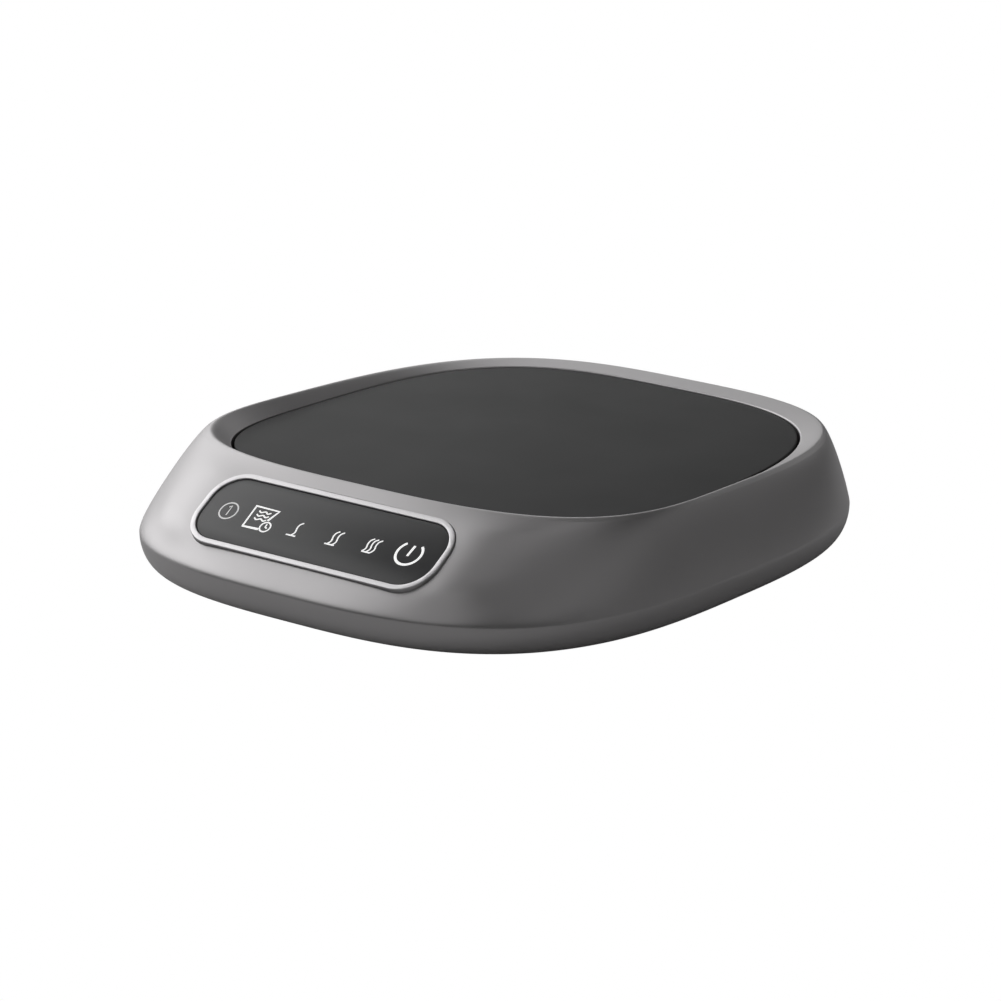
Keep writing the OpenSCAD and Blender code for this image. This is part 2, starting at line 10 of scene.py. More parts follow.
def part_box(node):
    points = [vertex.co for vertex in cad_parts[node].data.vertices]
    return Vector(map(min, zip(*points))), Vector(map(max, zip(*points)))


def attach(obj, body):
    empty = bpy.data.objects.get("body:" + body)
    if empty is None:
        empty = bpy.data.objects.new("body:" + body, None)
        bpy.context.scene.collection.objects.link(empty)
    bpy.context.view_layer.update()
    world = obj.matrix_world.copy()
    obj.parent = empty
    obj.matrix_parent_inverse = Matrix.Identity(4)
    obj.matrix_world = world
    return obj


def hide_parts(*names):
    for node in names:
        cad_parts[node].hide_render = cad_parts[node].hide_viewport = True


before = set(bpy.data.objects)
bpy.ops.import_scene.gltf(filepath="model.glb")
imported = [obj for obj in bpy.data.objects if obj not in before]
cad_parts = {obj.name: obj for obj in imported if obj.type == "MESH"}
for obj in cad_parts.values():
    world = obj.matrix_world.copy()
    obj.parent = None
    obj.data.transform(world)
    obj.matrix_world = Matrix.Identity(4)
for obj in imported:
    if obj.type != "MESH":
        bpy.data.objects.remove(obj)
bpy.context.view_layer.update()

bl_info = {
    "name": "Mug warmer",
    "version": (1, 0, 0),
    "blender": (4, 5, 0),
    "location": "3D View > Sidebar > Mug warmer",
    "description": "Dresses an electric mug warmer round its packed frame",
    "category": "Add Mesh",
}

MM = 0.001
HOUSING_LOW, HOUSING_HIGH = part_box("upper_housing")
PLATE_LOW, PLATE_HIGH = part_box("heating_plate")
GLAND_LOW, GLAND_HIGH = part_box("cord_gland")
FOOT_LOW, FOOT_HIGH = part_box("rubber_feet")
SCREW_LOW, SCREW_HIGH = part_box("case_screws")
MERGE = 0.001 * MM              # points nearer to each other than this become one
CLEAR = 1 * MM                  # how far a cutting tool reaches past what it cuts

# Outlines: powers of the front and back halves, place of the widest line, width lost per metre backwards
WAIST_POWERS = (3, 2.9)
CREST_POWERS = (3.12, 3.14)
CREST_WIDEST = -2 * MM
CREST_TAPER = 0.5
CREST_FALL = 0.0285             # fall of the crest towards the back
PLATE_POWERS = (3.23, 3.17)
PLATE_WIDEST = 1.8 * MM
PLATE_TAPER = 0.8

# Profiles between the widest line and the crest, each a Bezier: (share of the run, share of the rise)
DECK_PROFILE = ((0, 0), (0, 0.07), (0.1, 0.16), (1, 1))
WALL_PROFILE = ((0, 0), (0.13, 0.27), (0.66, 0.91), (1, 1))
DECK_END = 0.992                # where the rounding of the crest starts, as the profile's parameter
WALL_END = 0.9
DECK_TURN = 0.97                # sine of the turn from the side beyond which the profile is the deck's
WALL_TURN = 0.3                 # sine of the turn from the side up to which it is the wall's
DECK_FLAT = 0.85                # share of the front's bow taken out beside the panel
DECK_FLAT_TO = 28 * MM          # half width that is drawn flat
DECK_FLAT_FADE = 26 * MM        # width over which the flat fades into the corner
DECK_FLAT_START = 0.48          # share of the rise over which the flat comes in
DECK_FLAT_END = 0.2             # share of the rise over which it goes out again below the crest

# Rim, collar, inner skin and the plate's edge
RIM_SLOPE = ((0.18, 0.06), (0.55, 0.5))         # from crest to lip: (share of the run, share of the drop)
LIP_ROUND = 0.25 * MM
LIP_RISE = 0.05 * MM            # how far the slope ends above the lip
COLLAR_THICK = 1.5 * MM
COLLAR_LOW = 18.6 * MM
SKIN_DROP = 1.6 * MM            # how far the inner skin lies below the outer one
SKIN_TOP = 0.93                 # where the inner skin ends, as the profile's parameter
PLATE_ROUND = 0.3 * MM

# Panel: depths are measured from its plane, into the housing
LEDGE_TOP = 2.2 * MM            # depth of the panel's seat
LEDGE_LOW = 4.4 * MM            # depth of the ledge's underside
LEDGE_LAP = 0.4 * MM            # how far the ledge starts above the seat that is then cut into it
LEDGE_MARGIN = 2.2 * MM         # how far the ledge reaches past the panel
WINDOW_LAP = 3 * MM             # width of the ledge under the panel's edge
WINDOW_PAST = 2 * MM            # how far the window is cut past the ledge's underside
PANEL_FIT = 0.1 * MM            # gap between the housing and the bezel
PANEL_ABOVE = 6 * MM            # how far cutting tools reach out of the panel
PANEL_SEGMENTS = 20             # faces round each corner of the bezel and the lens
BEZEL_ROUND = 0.36 * MM
LENS_GAP = 0.1 * MM             # gap between the bezel and the lens
LENS_SINK = 0.08 * MM
LENS_ROUND = 0.15 * MM
FINE = 0.34                     # widths of the signs' lines, in millimetres
BOLD = 0.58
INK_PRESS = 0.07                # how flat the ink lies, as a share of its width
INK_PROUD = 0.012 * MM
TOUCH_POSTS = [(x * MM, y * MM) for x in (-32.6, 32.6) for y in (-3.6, 3.6)]
TOUCH_POST_RADIUS = 1.9 * MM
TOUCH_POST_LAP = 0.3 * MM       # how far the posts reach into the ledge
TOUCH_POST_DEEP = 6.2 * MM      # depth of the posts' ends
TOUCH_PILOT_RADIUS = 0.75 * MM
TOUCH_PILOT_DEEP = 2.4 * MM     # length of the pilot holes

# Bosses, feet, screws and cord entry
SCREW_TOWERS = [(x * MM, y * MM) for x, y in ((-44, -46), (44, -46), (-36, 54), (36, 54))]
TOWER_TOP = 6.6 * MM            # height at which the bosses start
BOSS_RADII = (3.5 * MM, 3.5 * MM, 3.2 * MM, 3.2 * MM)
BOSS_TOPS = (19 * MM, 19 * MM, 14 * MM, 14 * MM)
BOSS_PILOT_RADIUS = 1.5 * MM
BOSS_PILOT_TOP = 11.5 * MM
WEB_SIZE = (2.4 * MM, 11.4 * MM)
FEET = [(x * MM, y * MM) for x, y in ((-42, -34), (42, -34), (-42, 42), (42, 42))]
FOOT_RADIUS = 6 * MM
FOOT_SLOPE = 2.4 * MM           # widths in the tread, from its edge inwards
FOOT_RING = 1.2 * MM
FOOT_STEP = 0.4 * MM
FOOT_RISE = 0.3 * MM            # rise of the slope, and of the step
FOOT_ROUND = 0.18 * MM
SCREW_HEAD_RADIUS = 3 * MM
SCREW_HEAD_HIGH = 2 * MM
SCREW_HEAD_ROUND = 0.7 * MM
SCREW_CROSS = (3.4 * MM, 0.75 * MM)
SCREW_CROSS_DEEP = 1.1 * MM
SCREW_SHANK_RADIUS = 1.45 * MM
SCREW_SHANK_LAP = 0.2 * MM      # how far the shank reaches into the head
SCREW_CORE_RADIUS = 1.1 * MM
SCREW_PITCH = 0.9 * MM
SCREW_POINT = 0.3               # share of the radius that is left at the tip
SCREW_POINT_LENGTH = 1.5 * SCREW_SHANK_RADIUS
GLAND_Z = (GLAND_LOW.z + GLAND_HIGH.z) / 2
GLAND_BORE = 2.6 * MM
GLAND_NECK = 4 * MM
GLAND_FLANGE = 5.2 * MM
GLAND_COLLAR = 5.6 * MM
GLAND_SEAT = (6.4 * MM, 66 * MM, 69.9 * MM)     # radius and reach of the thickened back wall
GLAND_FACE = 70.6 * MM          # where the flange sits
GLAND_FIT = 0.1 * MM
GLAND_HOLE = (60 * MM, 76 * MM)                 # between where the hole for the bush is cut
GLAND_LAP = 0.2 * MM            # how far the neck reaches into the collar and the flange
GLAND_ROUND = 0.25 * MM
HEATER_Y = 11 * MM              # middle of the heating element


# ---------- Sizes and colours ----------

def distance(name, description, default):
    return FloatProperty(name=name, description=description, default=default, min=0,
                         unit="LENGTH", subtype="DISTANCE", precision=4)


def colour(name, description, default):
    return FloatVectorProperty(name=name, description=description, default=default,
                               subtype="COLOR", size=3, min=0, max=1)


class HousingSizes(PropertyGroup):
    """Sizes of the upper housing"""
    half_width: distance("Half width", "Half the width across the widest line", HOUSING_HIGH.x)
    half_depth: distance("Half depth", "Half the depth across the widest line", HOUSING_HIGH.y)
    waist_height: distance("Waist height", "Height of the widest line", 8.4 * MM)
    skirt_height: distance("Skirt height", "Height of the lower edge", HOUSING_LOW.z)
    belly_inset: distance("Belly inset", "How far the belly draws in below the widest line", 3.5 * MM)
    wall: distance("Wall", "Wall thickness, measured level", 1.8 * MM)
    crest_half_width: distance("Crest half width", "Half the width of the rim's crest", 58.3 * MM)
    crest_front: distance("Crest front", "Reach of the crest in front", 47.3 * MM)
    crest_back: distance("Crest back", "Reach of the crest behind", 69 * MM)
    crest_height: distance("Crest height", "Height of the crest at mid depth", 24.65 * MM)
    lip_height: distance("Lip height", "Height of the rim's inner edge", 22.35 * MM)
    points: IntProperty(name="Points", description="Points round the housing", default=320, min=80, max=480)


class PlateSizes(PropertyGroup):
    """Sizes of the heating plate"""
    half_width: distance("Half width", "Half the width of the heating plate", 54.1 * MM)
    front: distance("Front", "Reach of the plate in front", -PLATE_LOW.y)
    back: distance("Back", "Reach of the plate behind", PLATE_HIGH.y)
    top: distance("Top", "Height of the plate's top face", PLATE_HIGH.z)
    thickness: distance("Thickness", "Thickness of the plate", PLATE_HIGH.z - PLATE_LOW.z)
    gap: distance("Gap", "Gap between the plate and the rim", 0.57 * MM)


class PanelSizes(PropertyGroup):
    """Sizes and place of the control panel"""
    slope: FloatProperty(name="Slope", description="Slope of the control panel",
                         default=math.radians(33), subtype="ANGLE")
    middle_y: FloatProperty(name="Middle", description="Middle of the panel, front to back",
                            default=-58.5 * MM, unit="LENGTH", subtype="DISTANCE")
    length: distance("Length", "Length outside the bezel", 64 * MM)
    height: distance("Height", "Height outside the bezel", 19.4 * MM)
    corner: distance("Corner", "Corner radius of the panel", 7.8 * MM)
    band: distance("Bezel band", "Width of the bezel's band", 1.3 * MM)
    proud: distance("Bezel proud", "How far the bezel stands proud", 0.2 * MM)


class Colours(PropertyGroup):
    """Colours of the finishes"""
    housing: colour("Housing", "Satin grey of the housing", (0.425, 0.415, 0.42))
    plate: colour("Plate", "Matt coating of the heating plate", (0.016, 0.016, 0.0163))
    bezel: colour("Bezel", "Bright frame of the control panel", (0.58, 0.57, 0.58))
    lens: colour("Lens", "Smoked lens", (0.072, 0.072, 0.074))
    sign: colour("Signs", "Printed signs", (0.86, 0.86, 0.85))
    base: colour("Base", "Black plastic of the base cover", (0.035, 0.035, 0.037))
    rubber: colour("Rubber", "Feet and cord gland", (0.018, 0.018, 0.019))
    board: colour("Boards", "Solder mask of the circuit boards", (0.02, 0.14, 0.06))
    nylon: colour("Nylon", "Natural nylon of the clamp and the flat lead", (0.72, 0.71, 0.66))
    steel: colour("Steel", "Plated screws and pressed steel", (0.56, 0.56, 0.57))
    fibre: colour("Fibre", "Felted fibre pad", (0.78, 0.75, 0.67))


# ---------- Outlines ----------

# A level of the housing or the plate: its reach, the powers of its curve, where it is widest, its taper,
# its height at mid depth, its fall towards the back, and the share of its front that is drawn flat
Level = namedtuple("Level", "half_width front back front_power back_power widest_y taper z fall flat")


def mix(a, b, t):
    return a + (b - a) * t


def ease(t):
    """From 0 to 1 with a soft start and a soft end."""
    c = min(1, max(0, t))
    return c ** 3 * (c * (6 * c - 15) + 10)


def bezier(points, s):
    a, b, c, d = points
    return (1 - s) ** 3 * a + 3 * s * (1 - s) ** 2 * b + 3 * s * s * (1 - s) * c + s ** 3 * d


def through(points, steps=6):
    """Points on a smooth curve through the given ones."""
    ends = [points[0], *points, points[-1]]
    curve = []
    for a, b, c, d in zip(ends, ends[1:], ends[2:], ends[3:]):
        for k in range(steps):
            t = k / steps
            curve.append(tuple(0.5 * (2 * q + (r - p) * t + (2 * p - 5 * q + 4 * r - s) * t * t
                                      + (3 * q - p - 3 * r + s) * t ** 3)
                               for p, q, r, s in zip(a, b, c, d)))
    return curve + [points[-1]]


def between(low, high, run, rise):
    """Between two levels: the plan moves by the share run; height, fall and flat by the share rise."""
    plan = len(Level._fields) - 3
    return Level(*[mix(a, b, run if k < plan else rise) for k, (a, b) in enumerate(zip(low, high))])


def drawn_in(level, inset, drop=0.0):
    """The same level, smaller all round and lower."""
    return level._replace(half_width=level.half_width - inset, front=level.front - inset,
                          back=level.back - inset, z=level.z - drop)


def at_height(level, z):
    """The same outline without a fall or a flat front, at a height."""
    return level._replace(z=z, fall=0.0, flat=0.0)


def outline_point(level, turn):
    """Point of a softly square outline: one half superellipse in front, another behind."""
    c, s = math.cos(turn), math.sin(turn)
    depth = level.front + level.widest_y if s < 0 else level.back - level.widest_y
    power = level.front_power if s < 0 else level.back_power
    r = (abs(c / level.half_width) ** power + abs(s / depth) ** power) ** (-1 / power)
    x = r * c * (1 - level.taper * r * s)
    y = r * s + level.widest_y
    if s < 0:
        flat = level.flat * ease(1 - (abs(x) - DECK_FLAT_TO) / DECK_FLAT_FADE)
        y = mix(y, -level.front, flat)
    return Vector((x, y, level.z - level.fall * y))


def ring(level, points):
    """Row of points once round a level, its last point on its first."""
    return [outline_point(level, 2 * math.pi * k / points) for k in range(points + 1)]


def blended(deck, wall):
    """Row that follows the deck's in front and the wall's everywhere else."""
    row = []
    for k, (a, b) in enumerate(zip(deck, wall)):
        forward = -math.sin(2 * math.pi * k / (len(deck) - 1))
        row.append(b.lerp(a, ease((forward - WALL_TURN) / (DECK_TURN - WALL_TURN))))
    return row


def rounded(rows, passes):
    """Rounds a run of rows by cutting its corners, pass after pass, and keeps its ends."""
    for _ in range(passes):
        trimmed = [rows[0]]
        for low, high in zip(rows, rows[1:]):
            trimmed += [[a.lerp(b, share) for a, b in zip(low, high)] for share in (0.25, 0.75)]
        rows = trimmed + [rows[-1]]
    return rows


def waist_level(sizes):
    return Level(sizes.half_width, sizes.half_depth, sizes.half_depth, *WAIST_POWERS, 0, 0,
                 sizes.waist_height, 0, 0)


def crest_level(sizes):
    return Level(sizes.crest_half_width, sizes.crest_front, sizes.crest_back, *CREST_POWERS,
                 CREST_WIDEST, CREST_TAPER, sizes.crest_height, CREST_FALL, 0)


def plate_level(sizes):
    return Level(sizes.half_width, sizes.front, sizes.back, *PLATE_POWERS,
                 PLATE_WIDEST, PLATE_TAPER, sizes.top, 0, 0)


def side_level(sizes, profile, s):
    """Level of the outer side between the widest line and the crest."""
    run, rise = (bezier([p[axis] for p in profile], s) for axis in (0, 1))
    flat = DECK_FLAT * ease(rise / DECK_FLAT_START) * ease((1 - rise) / DECK_FLAT_END)
    return between(waist_level(sizes), crest_level(sizes), run, rise)._replace(flat=flat)


def side_row(sizes, deck_s, wall_s, inset=0.0, drop=0.0):
    """Row of the outer side, or with an inset and a drop, of the inner skin."""
    deck, wall = (ring(drawn_in(side_level(sizes, profile, s), inset, drop), sizes.points)
                  for profile, s in ((DECK_PROFILE, deck_s), (WALL_PROFILE, wall_s)))
    return blended(deck, wall)


def belly_rows(sizes, steps=14):
    """Quarter round from the lower edge up to the widest line."""
    rows = []
    for k in range(steps):
        turn = math.pi / 2 * k / steps
        level = drawn_in(waist_level(sizes), sizes.belly_inset * (1 - math.sin(turn)))
        height = mix(sizes.skirt_height, sizes.waist_height, 1 - math.cos(turn))
        rows.append(ring(at_height(level, height), sizes.points))
    return rows


def rim_rows(sizes, lip):
    """Over the crest and down to the lip."""
    crest = crest_level(sizes)
    corner = [side_row(sizes, DECK_END, WALL_END)]
    slope = [between(crest, lip, run, drop) for run, drop in RIM_SLOPE]
    for level in (crest, *slope, drawn_in(lip, -LIP_ROUND, -LIP_RISE)):
        corner.append(ring(level, sizes.points))
    return rounded(corner, 3)


def collar_rows(sizes, lip, steps=4):
    """Rounds the lip, and goes down the collar and round its lower edge."""
    rows = []
    for k in range(1, steps + 1):
        turn = math.pi / 2 * k / steps
        rows.append(drawn_in(lip, -LIP_ROUND * (1 - math.sin(turn)), LIP_ROUND * (1 - math.cos(turn))))
    rows += [at_height(lip, COLLAR_LOW), at_height(drawn_in(lip, -COLLAR_THICK), COLLAR_LOW)]
    return [ring(level, sizes.points) for level in rows]


def skin_rows(sizes, steps=16):
    """Inner skin, down to the lower edge."""
    rows = []
    for k in range(steps):
        s = mix(SKIN_TOP, 0, k / steps)
        rows.append(side_row(sizes, s, s, sizes.wall, SKIN_DROP))
    waist = waist_level(sizes)
    rows.append(ring(drawn_in(waist, sizes.wall), sizes.points))
    skirt = at_height(drawn_in(waist, sizes.belly_inset + sizes.wall), sizes.skirt_height)
    rows.append(ring(skirt, sizes.points))
    return rows


def housing_rows(sizes, plate_sizes, steps=44):
    """Belly, outer side, rim, collar and inner skin, closed on the first row."""
    lip = at_height(drawn_in(plate_level(plate_sizes), -plate_sizes.gap), sizes.lip_height)
    side = [side_row(sizes, DECK_END * k / steps, WALL_END * k / steps) for k in range(steps)]
    rows = belly_rows(sizes) + side + rim_rows(sizes, lip) + collar_rows(sizes, lip) + skin_rows(sizes)
    return rows + rows[:1]


# ---------- Modelling helpers ----------

def deselect():
    if bpy.context.mode != "OBJECT":
        bpy.ops.object.mode_set(mode="OBJECT")
    bpy.ops.object.select_all(action="DESELECT")


def pick(*pieces):
    deselect()
    for piece in pieces:
        piece.select_set(True)
    bpy.context.view_layer.objects.active = pieces[0]


def added(name):
    """Names the piece that was just made."""
    piece = bpy.context.object
    piece.name = piece.data.name = name
    return piece


def edit(piece, test=None):
    """Goes into edit mode with the points selected whose place passes the test, or all of them."""
    pick(piece)
    bpy.context.tool_settings.mesh_select_mode = (True, False, False)
    mesh = piece.data
    chosen = [test is None or bool(test(v.co)) for v in mesh.vertices]
    mesh.vertices.foreach_set("select", chosen)
    mesh.edges.foreach_set("select", [all(chosen[v] for v in e.vertices) for e in mesh.edges])
    mesh.polygons.foreach_set("select", [all(chosen[v] for v in f.vertices) for f in mesh.polygons])
    bpy.ops.object.mode_set(mode="EDIT")


def edit_underside(piece):
    """Goes into edit mode with the faces selected that look down."""
    pick(piece)
    bpy.context.tool_settings.mesh_select_mode = (False, False, True)
    mesh = piece.data
    mesh.vertices.foreach_set("select", [False] * len(mesh.vertices))
    mesh.edges.foreach_set("select", [False] * len(mesh.edges))
    mesh.polygons.foreach_set("select", [f.normal.z < -0.9 for f in mesh.polygons])
    bpy.ops.object.mode_set(mode="EDIT")


def leave():
    bpy.ops.object.mode_set(mode="OBJECT")


def face_outwards(piece):
    edit(piece)
    bpy.ops.mesh.normals_make_consistent(inside=False)
    leave()


def apply_place(piece, place=None):
    """Puts a piece at a place, and the place into its mesh."""
    if place is not None:
        piece.matrix_world = place
    pick(piece)
    bpy.ops.object.transform_apply(location=True, rotation=True, scale=True)


def use_modifier(piece, kind, **settings):
    """Applies a modifier, and raises an error if that fails or leaves nothing."""
    modifier = piece.modifiers.new(kind.lower(), kind)
    for name, value in settings.items():
        setattr(modifier, name, value)
    pick(piece)
    bpy.ops.object.modifier_apply(modifier=modifier.name)
    if piece.modifiers or not piece.data.polygons:
        raise RuntimeError(f"{kind} could not be applied to {piece.name}")


def soften(piece, width, segments=3, degrees=60):
    """Rounds the edges that are sharper than an angle."""
    use_modifier(piece, "BEVEL", width=width, segments=segments, limit_method="ANGLE",
                 angle_limit=math.radians(degrees))


def joined(name, pieces):
    pick(*pieces)
    if len(pieces) > 1:
        bpy.ops.object.join()
    return added(name)


def cut(piece, *tools, operation="DIFFERENCE"):
    """Cuts one piece with others, which don't overlap, and uses them up."""
    tool = joined("tool", tools)
    use_modifier(piece, "BOOLEAN", object=tool, operation=operation, solver="MANIFOLD")
    bpy.data.objects.remove(tool)


def fuse(piece, *tools):
    cut(piece, *tools, operation="UNION")


def copied(piece, place):
    """A copy with its own mesh, at a place."""
    twin = piece.copy()
    twin.data = piece.data.copy()
    bpy.context.scene.collection.objects.link(twin)
    apply_place(twin, place)
    return twin


def spread(name, piece, places):
    """The same piece at several places on the floor's plane, as one object."""
    twins = [copied(piece, Matrix.Translation((x, y, 0))) for x, y in places]
    bpy.data.objects.remove(piece)
    return joined(name, twins)


def smooth(piece, degrees=35):
    """Shades a piece smooth, but for the edges that are sharper than an angle."""
    pick(piece)
    bpy.ops.object.shade_smooth_by_angle(angle=math.radians(degrees))


def coat(piece, finish):
    piece.data.materials.clear()
    piece.data.materials.append(finish.material)


def finish_piece(piece, body, slot, finish, *nodes):
    """Coats a piece, hangs it on the body it rides on and hides the nodes it stands for; the slot, what it
    is made of, is not used.
    """
    coat(piece, finish)
    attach(piece, body)
    if nodes:
        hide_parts(*nodes)
    return piece


def wrapped(name, rows):
    """A grid laid through rows of points, whose columns close on themselves."""
    deselect()
    columns, steps = len(rows[0]) - 1, len(rows) - 1
    bpy.ops.mesh.primitive_grid_add(x_subdivisions=columns, y_subdivisions=steps, size=1)
    piece = added(name)
    for v in piece.data.vertices:
        column, row = round((v.co.x + 0.5) * columns), round((v.co.y + 0.5) * steps)
        v.co = rows[row][column]
    edit(piece)
    bpy.ops.mesh.remove_doubles(threshold=MERGE)
    leave()
    return piece


def close_end(piece, height):
    """Fills the open ring of points at a height."""
    edit(piece, lambda co: abs(co.z - height) < MERGE)
    bpy.ops.mesh.edge_face_add()
    leave()


def pill(name, length, height, corner, thickness, segments=14):
    """A rounded rectangle, drawn on the plane z = 0 and thickened downwards."""
    deselect()
    bpy.ops.mesh.primitive_plane_add(size=1)
    piece = added(name)
    piece.scale = (length, height, 1)
    apply_place(piece)
    edit(piece)
    bpy.ops.mesh.bevel(offset=corner, segments=segments, affect="VERTICES")
    bpy.ops.mesh.select_all(action="SELECT")
    bpy.ops.mesh.extrude_region_move(TRANSFORM_OT_translate={"value": (0, 0, -thickness)})
    leave()
    face_outwards(piece)
    return piece


def panel_place(sizes, depth=0.0):
    """Place on the panel's plane: x along it, y up the slope, z out of it."""
    housing = bpy.context.scene.warmer_housing
    crest_z = housing.crest_height + CREST_FALL * housing.crest_front
    height = crest_z + (sizes.middle_y + housing.crest_front) * math.tan(sizes.slope)
    middle = Matrix.Translation((0, sizes.middle_y, height))
    return middle @ Matrix.Rotation(sizes.slope, 4, "X") @ Matrix.Translation((0, 0, -depth))


def panel_pill(name, sizes, inset, deep, shallow):
    """A rounded rectangle in the panel's place, smaller all round, between two depths."""
    piece = pill(name, sizes.length - 2 * inset, sizes.height - 2 * inset, sizes.corner - inset,
                 deep - shallow)
    apply_place(piece, panel_place(sizes, shallow))
    return piece


def rod(name, x, y, radius, low, high, sides=48, place=None):
    """A cylinder along z, between two heights, on the floor's plane or another place."""
    deselect()
    bpy.ops.mesh.primitive_cylinder_add(vertices=sides, radius=radius, depth=high - low,
                                        location=(x, y, (low + high) / 2))
    piece = added(name)
    apply_place(piece)
    if place is not None:
        apply_place(piece, place)
    return piece


def entry_rod(name, radius, low, high, sides=64):
    """A cylinder along y through the middle of the cord entry."""
    turned = Matrix.Translation((0, 0, GLAND_Z)) @ Matrix.Rotation(-math.pi / 2, 4, "X")
    return rod(name, 0, 0, radius, low, high, sides, turned)


def block(name, x, y, size, low, high):
    """A box between two heights."""
    deselect()
    bpy.ops.mesh.primitive_cube_add(size=1, location=(x, y, (low + high) / 2),
                                    scale=(size[0], size[1], high - low))
    piece = added(name)
    apply_place(piece)
    return piece


# ---------- Finishes ----------

TIN = (0.62, 0.61, 0.58)
COPPER = (0.72, 0.30, 0.14)
ALUMINIUM = (0.8, 0.8, 0.81)
SPRING_WIRE = (0.42, 0.42, 0.43)
FUSE_METAL = (0.66, 0.6, 0.5)
TAPE_YELLOW = (0.62, 0.42, 0.05)
DIPPED_YELLOW = (0.55, 0.34, 0.04)
TERMINAL_GREEN = (0.04, 0.2, 0.1)
PLUNGER_RED = (0.5, 0.035, 0.02)
CERAMIC = (0.75, 0.73, 0.68)
MILKY = (0.82, 0.82, 0.79)
MICA = (0.34, 0.24, 0.13)
FERRITE = (0.045, 0.04, 0.038)
POTTING = (0.05, 0.05, 0.055)
GLASS_FILLED = (0.035, 0.034, 0.033)
INNER_BLACK = (0.03, 0.03, 0.032)
SWITCH_BLACK = (0.028, 0.027, 0.026)
RELAY_BLACK = (0.025, 0.025, 0.03)
CHIP_BLACK = (0.02, 0.02, 0.021)


def group_sockets(group, inputs, outputs):
    for name, kind, default in inputs:
        socket = group.interface.new_socket(name=name, in_out="INPUT", socket_type=kind)
        if default is not None:
            socket.default_value = default
    for name, kind in outputs:
        group.interface.new_socket(name=name, in_out="OUTPUT", socket_type=kind)


def add_node(tree, kind, **values):
    """Adds a node. Names with a capital letter are its sockets, the others its settings."""
    node = tree.nodes.new(kind)
    for name, value in values.items():
        if name[0].isupper():
            node.inputs[name.replace("_", " ")].default_value = value
        else:
            setattr(node, name, value)
    return node


def maths(tree, operation, *values, clamp=False):
    """Adds a Math node and returns its output. Its values are numbers or other nodes' outputs."""
    node = tree.nodes.new("ShaderNodeMath")
    node.operation = operation
    node.use_clamp = clamp
    for socket, value in zip(node.inputs, values):
        if isinstance(value, (int, float)):
            socket.default_value = value
        else:
            tree.links.new(value, socket)
    return node.outputs[0]


def surface_grain_group():
    """Fine grain of a surface: it varies colour and roughness and gives a bump."""
    if "surface_grain" in bpy.data.node_groups:
        return bpy.data.node_groups["surface_grain"]
    group = bpy.data.node_groups.new("surface_grain", "ShaderNodeTree")
    group_sockets(group, [
        ("Vector", "NodeSocketVector", None),
        ("Colour", "NodeSocketColor", (0.5, 0.5, 0.5, 1)),
        ("Colour variation", "NodeSocketFloat", 0.05),
        ("Roughness", "NodeSocketFloat", 0.5),
        ("Roughness variation", "NodeSocketFloat", 0.05),
        ("Grain scale", "NodeSocketFloat", 2500.0),
        ("Bump height", "NodeSocketFloat", 0.00001),
    ], [("Colour", "NodeSocketColor"), ("Roughness", "NodeSocketFloat"), ("Normal", "NodeSocketVector")])
    link = group.links.new
    given = group.nodes.new("NodeGroupInput")
    made = group.nodes.new("NodeGroupOutput")
    grain = add_node(group, "ShaderNodeTexNoise", Detail=3.0, Roughness=0.6)
    broad = add_node(group, "ShaderNodeTexNoise", Scale=45.0, Detail=2.0)
    link(given.outputs["Vector"], grain.inputs["Vector"])
    link(given.outputs["Grain scale"], grain.inputs["Scale"])
    link(given.outputs["Vector"], broad.inputs["Vector"])
    both = maths(group, "ADD", grain.outputs["Fac"], broad.outputs["Fac"])
    centred = maths(group, "SUBTRACT", both, 1.0)
    tint = add_node(group, "ShaderNodeVectorMath", operation="SCALE")
    link(given.outputs["Colour"], tint.inputs[0])
    link(maths(group, "MULTIPLY_ADD", centred, given.outputs["Colour variation"], 1.0), tint.inputs["Scale"])
    link(tint.outputs[0], made.inputs["Colour"])
    rough = maths(group, "MULTIPLY_ADD", centred, given.outputs["Roughness variation"],
                  given.outputs["Roughness"], clamp=True)
    link(rough, made.inputs["Roughness"])
    bump = add_node(group, "ShaderNodeBump", Strength=1.0)
    link(grain.outputs["Fac"], bump.inputs["Height"])
    link(given.outputs["Bump height"], bump.inputs["Distance"])
    link(bump.outputs["Normal"], made.inputs["Normal"])
    return group


